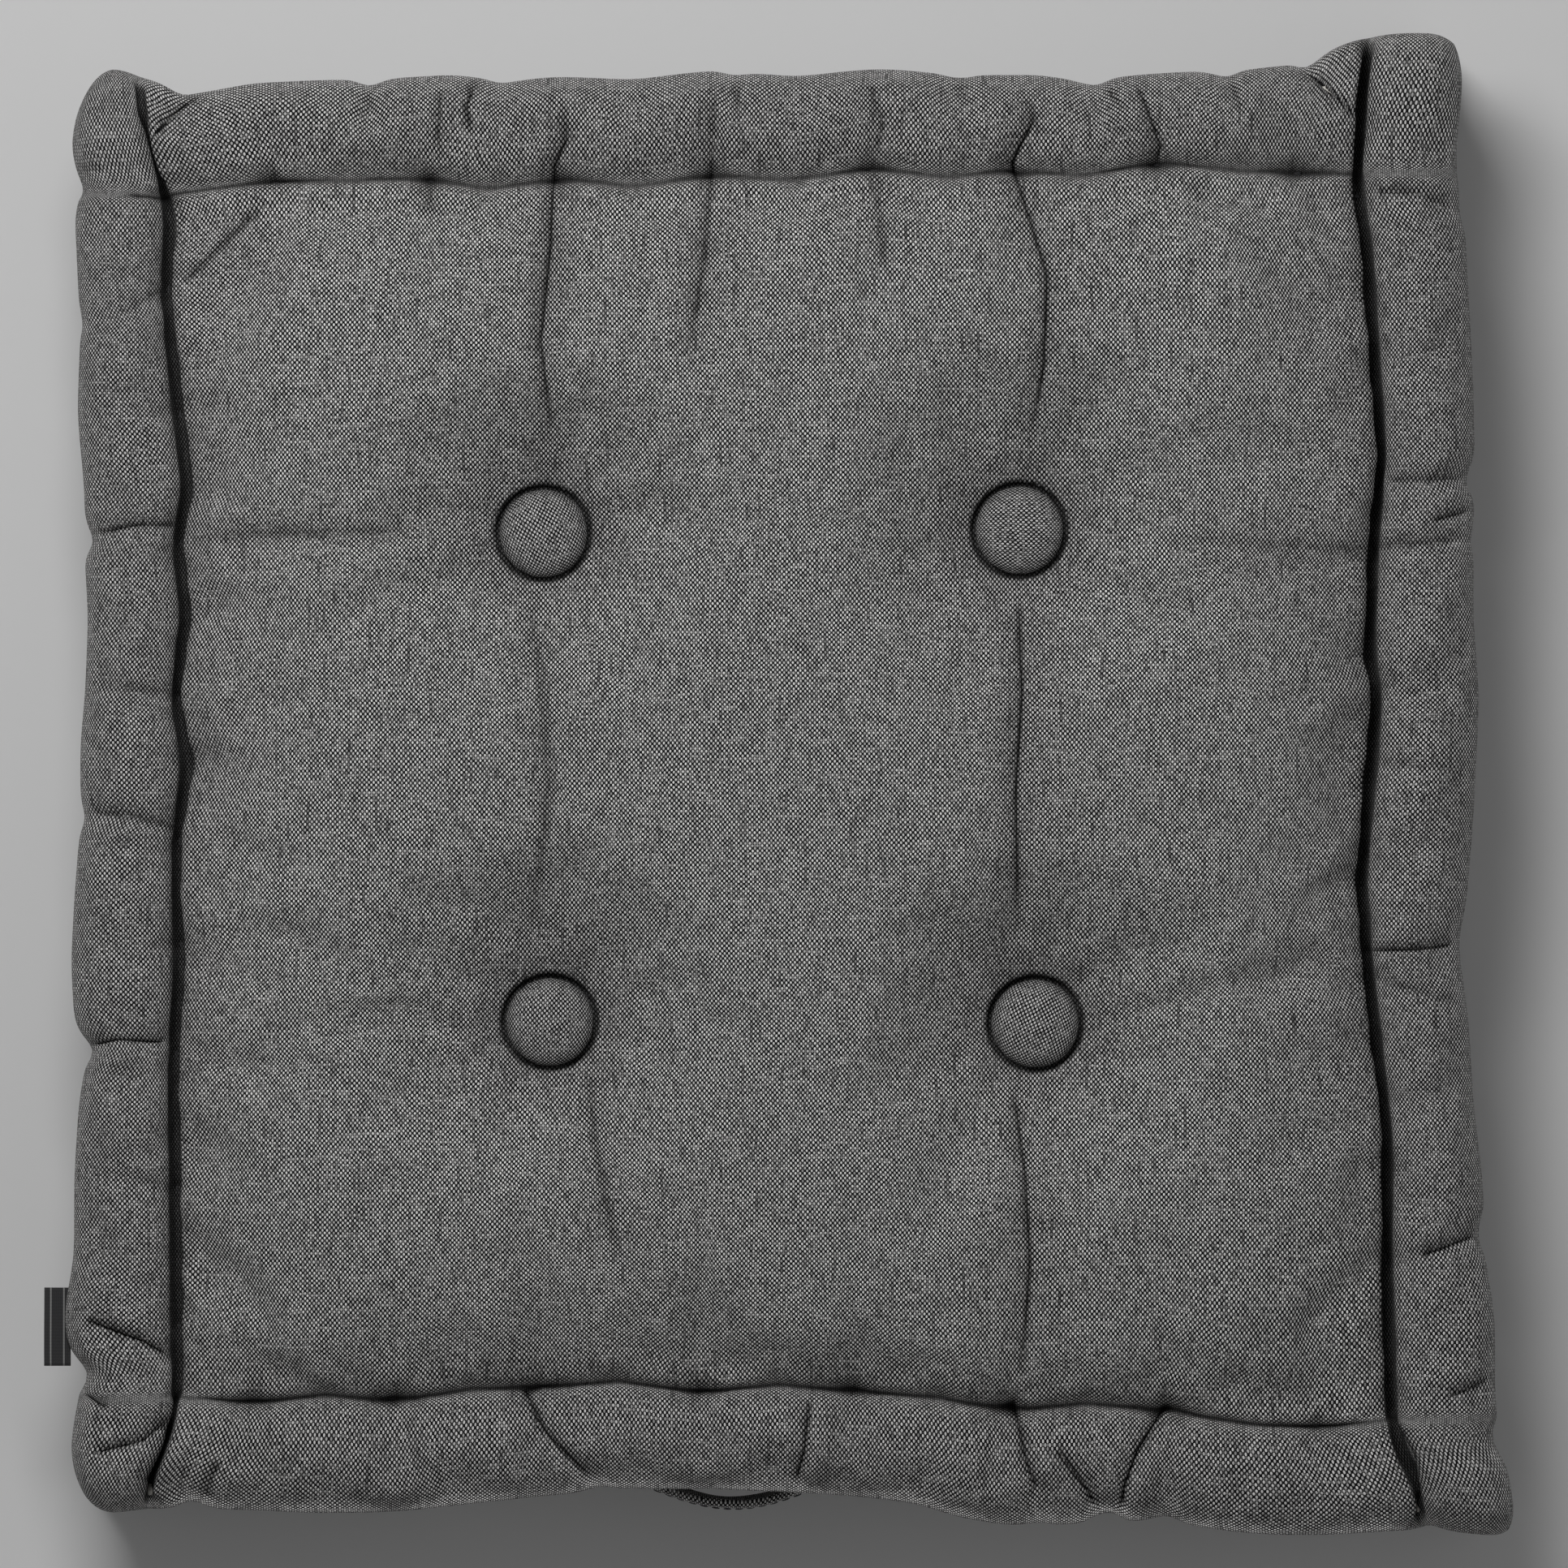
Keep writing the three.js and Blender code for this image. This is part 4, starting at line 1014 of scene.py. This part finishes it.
filling_form.normal_update()
core = np.array([vt.co[:] for vt in filling_form.verts])
core_u, core_v = (np.array([vt[filling_form.verts.layers.float[name]] for vt in filling_form.verts])
                  for name in ("side_inset", "end_inset"))
core_top = np.array([vt[filling_form.verts.layers.float["row"]] < 0.01 for vt in filling_form.verts])
dip = np.zeros(len(core))
for dx, dy in ((0, 0), (2, 0), (-2, 0), (0, 2), (0, -2)):
    dip = np.minimum(dip, worked(core[:, 0] + dx * MM, core[:, 1] + dy * MM, core_u + dx * MM, core_v + dy * MM)[2])
core_side = np.array([0.01 < vt[filling_form.verts.layers.float["row"]] < ROWS - 0.01
                      for vt in filling_form.verts])
clear = CANVAS_THICKNESS + 1.6 * MM
FLANK, FLANK_FADE = 185 * MM, 22 * MM  # the filling steps back from the boxing beyond here
CORNER_ROOM = 4.5 * MM
for vertex, on_panel, on_boxing, lower in zip(filling_form.verts, core_top, core_side, dip):
    if on_boxing:
        in_corner = float(rises((min(abs(vertex.co.x), abs(vertex.co.y)) - 180 * MM) / (30 * MM)))
        for axis in (0, 1):
            place = vertex.co[axis]
            inwards = (1.4 * clear + CORNER_ROOM * in_corner) * float(rises((abs(place) - FLANK) / FLANK_FADE))
            vertex.co[axis] -= math.copysign(inwards, place)
    else:
        vertex.co -= vertex.normal * clear
    if on_panel:
        vertex.co.z += lower - 0.6 * MM
filling = finish_piece("fibre_filling_pad", filling_form, fibre_material(), "cushion")
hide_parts("fibre_filling")

top_points = places[on_top]


def groove_floor(px, py):
    """The lowest place of the panel's cloth close to a point."""
    return top_points[np.hypot(top_points[:, 0] - px, top_points[:, 1] - py) < 2.2 * MM][:, 2].min()


# ---- Covered buttons ----
# A disc of the same canvas gathered over a domed steel shell and pinched in by the back plate. Each is tied through
# the cushion to the one below it, and has turned its own way.

BUTTON_TURN = {"tuft_back_left": -14, "tuft_back_right": 92, "tuft_front_left": 3, "tuft_front_right": 18}


def covered_button(node_name, tuft_name, facing):
    low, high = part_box(node_name)
    middle = (low + high) / 2
    rim = low.z + 1 * MM if facing > 0 else high.z - 1 * MM
    outside = [(0, 5.95), (2.5, 5.88), (5, 5.65), (7.5, 5.2), (9.8, 4.45), (11.8, 3.35), (13.3, 1.9), (14.05, 0.5),
               (14.1, -0.3), (13.6, -0.85), (12.6, -1.0), (9.7, -1.0)]
    inside = [(9.7, -0.5), (12.4, -0.4), (13.3, 0.3), (12.6, 1.6), (11.2, 2.85), (9.3, 3.85), (7, 4.55),
              (4.6, 5.05), (2.3, 5.25), (0, 5.3)]
    shape = bmesh.new()
    ring = [shape.verts.new((r * MM, 0, h * MM)) for r, h in outside + inside]
    edges = [shape.edges.new(pair) for pair in zip(ring, ring[1:])]
    bmesh.ops.spin(shape, geom=ring + edges, cent=(0, 0, 0), axis=(0, 0, 1), angle=2 * math.pi, steps=72,
                   use_merge=True)
    bmesh.ops.remove_doubles(shape, verts=shape.verts, dist=0.01 * MM)
    weave = shape.loops.layers.uv.new("weave")
    painted_shade_layer = shape.verts.layers.float.new("painted_shade")
    turn = Matrix.Rotation(math.radians(BUTTON_TURN[tuft_name] + (0 if facing > 0 else 40)), 2)
    for face in shape.faces:
        for loop in face.loops:
            flat = loop.vert.co.xy
            away = flat.length
            spread = 1 + 0.22 * (away / BUTTON_RADIUS) ** 5 + (0.12 if loop.vert.co.z < 0 else 0)
            loop[weave].uv = turn @ (flat * spread)
    for vertex in shape.verts:
        away = vertex.co.xy.length
        angle = math.atan2(vertex.co.y, vertex.co.x)
        edge = max(0, away / BUTTON_RADIUS - 0.80) / 0.2
        # Painted shade: a little over the whole button, deeper towards its rim.
        vertex[painted_shade_layer] = 0.18 + 0.4 * min(edge, 1)
        gather = 1 - 0.012 * edge * (0.5 + 0.5 * math.sin(angle * 18 + math.sin(angle * 5) * 2))
        vertex.co.x *= gather
        vertex.co.y *= gather
    if facing < 0:
        bmesh.ops.scale(shape, vec=(1, 1, -1), verts=shape.verts)
    bmesh.ops.translate(shape, vec=(middle.x, middle.y, rim), verts=shape.verts)
    bmesh.ops.recalc_face_normals(shape, faces=shape.faces)
    button = finish_piece(node_name.replace("_cover", "_canvas"), shape, canvas, tuft_name)
    rounder = button.modifiers.new("round", "SUBSURF")
    rounder.levels = rounder.render_levels = 1
    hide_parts(node_name)


for tuft_name in TUFTS:
    corner = tuft_name.removeprefix("tuft_")
    covered_button(f"top_button_{corner}_cover", tuft_name, 1)
    covered_button(f"bottom_button_{corner}_cover", tuft_name, -1)


# ---- Edge stitches ----
# Waxed thread pulled through the rolls with a long needle: at each tack a short doubled bar lies in the bottom of
# the groove, dark on the top and grey underneath.


def thread_material(name, tint, dark):
    material, tree, surface = new_material(name, 0.55)
    place = add(tree, "TexCoord").outputs["Object"]
    plies = add(tree, "TexWave", wave_type="BANDS", bands_direction="DIAGONAL")
    plies.inputs["Scale"].default_value = 700
    plies.inputs["Distortion"].default_value = 1.5
    feed(tree, plies.inputs["Vector"], place)
    feed(tree, surface.inputs["Base Color"], between(tree, plies.outputs["Fac"], dark, tint))
    raised(tree, surface, plies.outputs["Fac"], 0.1 * MM)
    surface.inputs["Sheen Weight"].default_value = 0.2
    return material


dark_thread = thread_material("dark waxed thread", (0.060, 0.060, 0.064, 1), (0.012, 0.012, 0.014, 1))
grey_thread = thread_material("grey waxed thread", (0.42, 0.41, 0.40, 1), (0.16, 0.16, 0.16, 1))


def lay_stitch(shape, start, end, radius):
    """A short length of thread between two points, thinner at its ends."""
    start, end = Vector(start), Vector(end)
    lay = (end - start).to_track_quat("Z", "Y").to_matrix().to_4x4()
    size = Matrix.Diagonal((radius, radius, (end - start).length / 2, 1))
    bmesh.ops.create_uvsphere(shape, u_segments=8, v_segments=7, radius=1,
                              matrix=Matrix.Translation((start + end) / 2) @ lay @ size)


STITCH_REACH, STITCH_RADIUS = 2.6 * MM, 0.45 * MM


def edge_stitches(side, face):
    node_name = f"edge_twine_{face}_{side}"
    low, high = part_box(node_name)
    alongside = side in ("left", "right")
    level = (low.z + high.z) / 2
    shape = bmesh.new()
    for tack in TACKS[side]:
        place = tack * MM
        line = (low.x + high.x) / 2 if alongside else (low.y + high.y) / 2
        if face == "top":
            line = math.copysign(HALF - GROOVE + float(GROOVE_SHIFT[side](place)), line)
        middle = Vector((line, place, level)) if alongside else Vector((place, line, level))
        if face == "top":
            middle.z = groove_floor(middle.x, middle.y) + 0.4 * MM
        reach = Vector((0, 1, 0)) if alongside else Vector((1, 0, 0))
        wide = Vector((1, 0, 0)) if alongside else Vector((0, 1, 0))
        for lift in (-0.35, 0.35):
            lay_stitch(shape, middle - reach * STITCH_REACH + wide * lift * MM, middle + reach * STITCH_REACH
                       - wide * lift * MM, STITCH_RADIUS)
    thread = dark_thread if face == "top" else grey_thread
    stitches = finish_piece(f"edge_stitches_{face}_{side}", shape, thread, "cushion")
    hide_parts(node_name)


for side in TACKS:
    edge_stitches(side, "top")
    edge_stitches(side, "bottom")


# ---- Carry strap ----
# A band of the same canvas folded to four layers and topstitched along both edges. Its ends are box-stitched to
# the front boxing, and its slack middle stands off so that fingers go behind it.

end_low, end_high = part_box("handle_end_left")
far_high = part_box("handle_end_right")[1]
grip_low, grip_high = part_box("handle_grip")
STRAP_HALF_LENGTH = (far_high.x - end_low.x) / 2
STRAP_WIDTH = grip_high.z - grip_low.z
STRAP_THICKNESS = 3 * MM
STRAP_BOW = 12 * MM
STRAP_HALF_SPAN = STRAP_HALF_LENGTH - 25 * MM
STRAP_LEVEL = (grip_low.z + grip_high.z) / 2
SEATED_Y = end_high.y - STRAP_THICKNESS / 2


def strap_y(place):
    share = min(abs(place - STRAP_MIDDLE) / STRAP_HALF_SPAN, 1)
    return SEATED_Y - STRAP_BOW * (1 + math.cos(math.pi * share)) / 2


strap_shape = bmesh.new()
bmesh.ops.create_circle(strap_shape, segments=36, radius=1)
weave = strap_shape.loops.layers.uv.new("weave")
ring = sorted(strap_shape.verts, key=lambda vt: math.atan2(vt.co.y, vt.co.x))
section = []
for vertex in ring:
    angle = math.atan2(vertex.co.y, vertex.co.x)
    c, s = math.cos(angle), math.sin(angle)
    section.append((math.copysign(abs(c) ** 0.55, c) * STRAP_THICKNESS / 2,
                    math.copysign(abs(s) ** 0.22, s) * STRAP_WIDTH / 2))
STRAP_STEPS = 96
start_x = STRAP_MIDDLE - STRAP_HALF_LENGTH


def place_ring(verts, number):
    place = start_x + 2 * STRAP_HALF_LENGTH * number / STRAP_STEPS
    slope = (strap_y(place + 0.1 * MM) - strap_y(place - 0.1 * MM)) / (0.2 * MM)
    normal = Vector((-slope, 1)).normalized()
    wave = 0.35 * MM * math.sin(place * 260) * (1 if 0.15 < number / STRAP_STEPS < 0.85 else 0)
    for vt, (out, up) in zip(verts, section):
        edge = 1 - 0.02 * math.sin(place * 420 + up * 90)
        vt.co = (place + normal.x * out, strap_y(place) + normal.y * out + wave * (up / STRAP_WIDTH), STRAP_LEVEL
                 + up * edge)


place_ring(ring, 0)
edge_keys = [strap_shape.edges.get((a, b)) for a, b in zip(ring, ring[1:] + ring[:1])]
for number in range(1, STRAP_STEPS + 1):
    grown = bmesh.ops.extrude_edge_only(strap_shape, edges=edge_keys)["geom"]
    follow = {}
    for face in (g for g in grown if isinstance(g, bmesh.types.BMFace)):
        for edge in face.edges:
            old = [vt for vt in edge.verts if vt in ring]
            new = [vt for vt in edge.verts if vt not in ring]
            if len(old) == 1 and len(new) == 1:
                follow[old[0]] = new[0]
    ring = [follow[vt] for vt in ring]
    place_ring(ring, number)
    edge_keys = [strap_shape.edges.get((a, b)) for a, b in zip(ring, ring[1:] + ring[:1])]
bmesh.ops.holes_fill(strap_shape, edges=[e for e in strap_shape.edges if e.is_boundary], sides=0)
bmesh.ops.recalc_face_normals(strap_shape, faces=strap_shape.faces)
for face in strap_shape.faces:
    for loop in face.loops:
        place, out, up = loop.vert.co
        loop[weave].uv = (place * 1.08, up + out - strap_y(place))
strap = finish_piece("carry_strap", strap_shape, canvas, None)
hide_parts("handle_grip", "handle_end_left", "handle_end_right")

BEND_START = (STRAP_MIDDLE, SEATED_Y - 1.0 * MM, STRAP_LEVEL)
BEND_END = (STRAP_MIDDLE, SEATED_Y - STRAP_BOW * 0.9, STRAP_LEVEL)
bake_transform(strap, "cushion", "handle", start=BEND_START, end=BEND_END)

TOPSTITCHES, BOX_STITCH = 40, 2.7 * MM
topstitch = bmesh.new()
for edge_side in (-1, 1):
    for number in range(TOPSTITCHES):
        places = [start_x + 2 * STRAP_HALF_LENGTH * (number + share) / TOPSTITCHES for share in (0.15, 0.85)]
        up = STRAP_LEVEL + edge_side * (STRAP_WIDTH / 2 - 2.6 * MM)
        lay_stitch(topstitch, *((p, strap_y(p) - STRAP_THICKNESS / 2 - 0.12 * MM, up) for p in places), 0.3 * MM)
stitching = finish_piece("strap_topstitching", topstitch, dark_thread, None)
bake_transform(stitching, "cushion", "handle", start=BEND_START, end=BEND_END)

for side in ("left", "right"):
    low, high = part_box(f"handle_stitch_{side}")
    face_y = (low.y + high.y) / 2
    corners = [(low.x, low.z), (high.x, low.z), (high.x, high.z), (low.x, high.z)]
    runs = list(zip(corners, corners[1:] + corners[:1])) + [(corners[0], corners[2]), (corners[1], corners[3])]
    box_stitch = bmesh.new()
    for (x0, z0), (x1, z1) in runs:
        count = round(math.hypot(x1 - x0, z1 - z0) / BOX_STITCH)
        for number in range(count):
            ends = [(number + share) / count for share in (0.12, 0.88)]
            lay_stitch(box_stitch, *((x0 + (x1 - x0) * e, face_y, z0 + (z1 - z0) * e) for e in ends), 0.32 * MM)
    sewn = finish_piece(f"strap_box_stitch_{side}", box_stitch, dark_thread, "cushion")
    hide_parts(f"handle_stitch_{side}")


# ---- Side label ----
# A folded loop of black woven tape, caught in the left seam near the front corner. It carries no writing, only two
# fine woven lines along its fold.


def label_material():
    material, tree, surface = new_material("black woven tape", 0.6)
    cloth = add(tree, "UVMap", uv_map="weave").outputs[0]
    place = add(tree, "SeparateXYZ")
    feed(tree, place.inputs[0], cloth)
    ribs = calc(tree, "ABSOLUTE", calc(tree, "SINE", calc(tree, "MULTIPLY", place.outputs["Y"], 9000.0)))
    picks = calc(tree, "ABSOLUTE", calc(tree, "SINE", calc(tree, "MULTIPLY", place.outputs["X"], 7000.0)))
    line = stretch(tree, calc(tree, "ABSOLUTE", calc(tree, "SUBTRACT", calc(tree, "ABSOLUTE", place.outputs["X"]),
                                                     0.0021)), 0.0003, 0.00015)
    ground = between(tree, ribs, (0.010, 0.010, 0.011, 1), (0.026, 0.026, 0.028, 1))
    feed(tree, surface.inputs["Base Color"], between(tree, calc(tree, "MULTIPLY", line, 0.6), ground,
                                                     (0.42, 0.42, 0.41, 1)))
    raised(tree, surface, calc(tree, "ADD", ribs, picks), 0.08 * MM)
    surface.inputs["Sheen Weight"].default_value = 0.2
    return material


tag_low, tag_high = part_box("side_label")
tag_shape = bmesh.new()
tag_level = (tag_low.z + tag_high.z) / 2
tag_root = tag_high.x
tag_reach = tag_high.x - tag_low.x
tape, slit = 0.4 * MM, 0.18 * MM
bend_centre = tag_root - tag_reach + tape + slit
outer_line = [(tag_root, tape + slit), (tag_root - tag_reach * 0.35, tape + slit), (bend_centre, tape + slit)]
inner_line = [(tag_root, slit), (tag_root - tag_reach * 0.35, slit), (bend_centre, slit)]
bend = [(bend_centre - (tape + slit) * math.sin(a), (tape + slit) * math.cos(a)) for a in np.radians([30, 60, 90,
        120, 150])]
inner_bend = [(bend_centre - slit * math.sin(a), slit * math.cos(a)) for a in np.radians([150, 90, 30])]
loop_line = (outer_line + bend + [(px, -pz) for px, pz in outer_line[::-1]]
             + [(px, -pz) for px, pz in inner_line] + inner_bend + inner_line[::-1])
ring = [tag_shape.verts.new((px, tag_low.y, tag_level + pz)) for px, pz in loop_line]
tag_edges = [tag_shape.edges.new(pair) for pair in zip(ring, ring[1:] + ring[:1])]
weave = tag_shape.loops.layers.uv.new("weave")
TAG_STEPS = 20
for number in range(TAG_STEPS):
    grown = bmesh.ops.extrude_edge_only(tag_shape, edges=tag_edges)["geom"]
    moved = [g for g in grown if isinstance(g, bmesh.types.BMVert)]
    tag_edges = [g for g in grown if isinstance(g, bmesh.types.BMEdge) and all(vt in moved for vt in g.verts)]
    bmesh.ops.translate(tag_shape, vec=(0, (tag_high.y - tag_low.y) / TAG_STEPS, 0), verts=moved)
bmesh.ops.holes_fill(tag_shape, edges=[e for e in tag_shape.edges if e.is_boundary], sides=0)
bmesh.ops.recalc_face_normals(tag_shape, faces=tag_shape.faces)
for face in tag_shape.faces:
    for loop in face.loops:
        loop[weave].uv = (loop.vert.co.x - (tag_root - tag_reach / 2), loop.vert.co.y)
for vertex in tag_shape.verts:
    out = (tag_root - vertex.co.x) / tag_reach
    lengthways = (vertex.co.y - tag_low.y) / (tag_high.y - tag_low.y)
    vertex.co.z += out * 0.8 * MM * math.sin(lengthways * 4.2 + 0.5)
label = finish_piece("side_label_tape", tag_shape, label_material(), "label")
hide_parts("side_label")


# ---- Inside the cushion: shells, backs and tufting twine ----
# Tinned steel shells and backs hold the buttons' cloth. Waxed linen twine runs through both wire eyes and is knotted
# half way.


def steel_material():
    material, tree, surface = new_material("tinned steel", 0.35)
    surface.inputs["Metallic"].default_value = 1
    place = add(tree, "TexCoord").outputs["Object"]
    worn = patches(tree, place, 500, 4)
    feed(tree, surface.inputs["Base Color"], between(tree, worn, (0.50, 0.51, 0.52, 1), (0.72, 0.73, 0.74, 1)))
    feed(tree, surface.inputs["Roughness"], stretch(tree, worn, 0.3, 0.7, 0.25, 0.5))
    raised(tree, surface, patches(tree, place, 2500, 2), 0.02 * MM)
    return material


steel = steel_material()
twine = thread_material("waxed linen twine", (0.42, 0.38, 0.31, 1), (0.20, 0.17, 0.13, 1))
for node_name, node_object in frame["nodes"].items():
    if node_name.endswith(("_shell", "_back")) and "button" in node_name:
        node_object.data.materials.clear()
        node_object.data.materials.append(steel)
    if node_name.startswith("tuft_twine"):
        node_object.data.materials.clear()
        node_object.data.materials.append(twine)


# ---- Studio ----
# A plain pale floor, and soft light from above and behind.


def floor_material():
    material, tree, surface = new_material("pale floor", 0.8)
    grain = patches(tree, add(tree, "TexCoord").outputs["Object"], 3, 3)
    feed(tree, surface.inputs["Base Color"], between(tree, grain, (0.74, 0.74, 0.74, 1), (0.78, 0.78, 0.78, 1)))
    return material


floor_shape = bmesh.new()
bmesh.ops.create_grid(floor_shape, x_segments=2, y_segments=2, size=6)
floor_mesh = bpy.data.meshes.new("floor")
floor_shape.to_mesh(floor_mesh)
floor_shape.free()
floor_mesh.materials.append(floor_material())
floor = bpy.data.objects.new("floor", floor_mesh)
scene.collection.objects.link(floor)


def soft_light(name, place, size, power):
    data = bpy.data.lights.new(name, "AREA")
    data.shape, data.size, data.energy = "SQUARE", size, power
    light = bpy.data.objects.new(name, data)
    light.location = place
    light.rotation_euler = (-Vector(place)).to_track_quat("-Z", "Y").to_euler()
    scene.collection.objects.link(light)


soft_light("key", (-0.30, 0.70, 1.4), 0.6, 13.0)
soft_light("fill", (0.9, -0.5, 1.5), 1.6, 2.0)
world = bpy.data.worlds.new("studio")
world.use_nodes = True
sky = world.node_tree.nodes["Background"].inputs
sky["Color"].default_value, sky["Strength"].default_value = (1, 1, 1, 1), 0.13
scene.world = world
scene.view_settings.view_transform = "Standard"
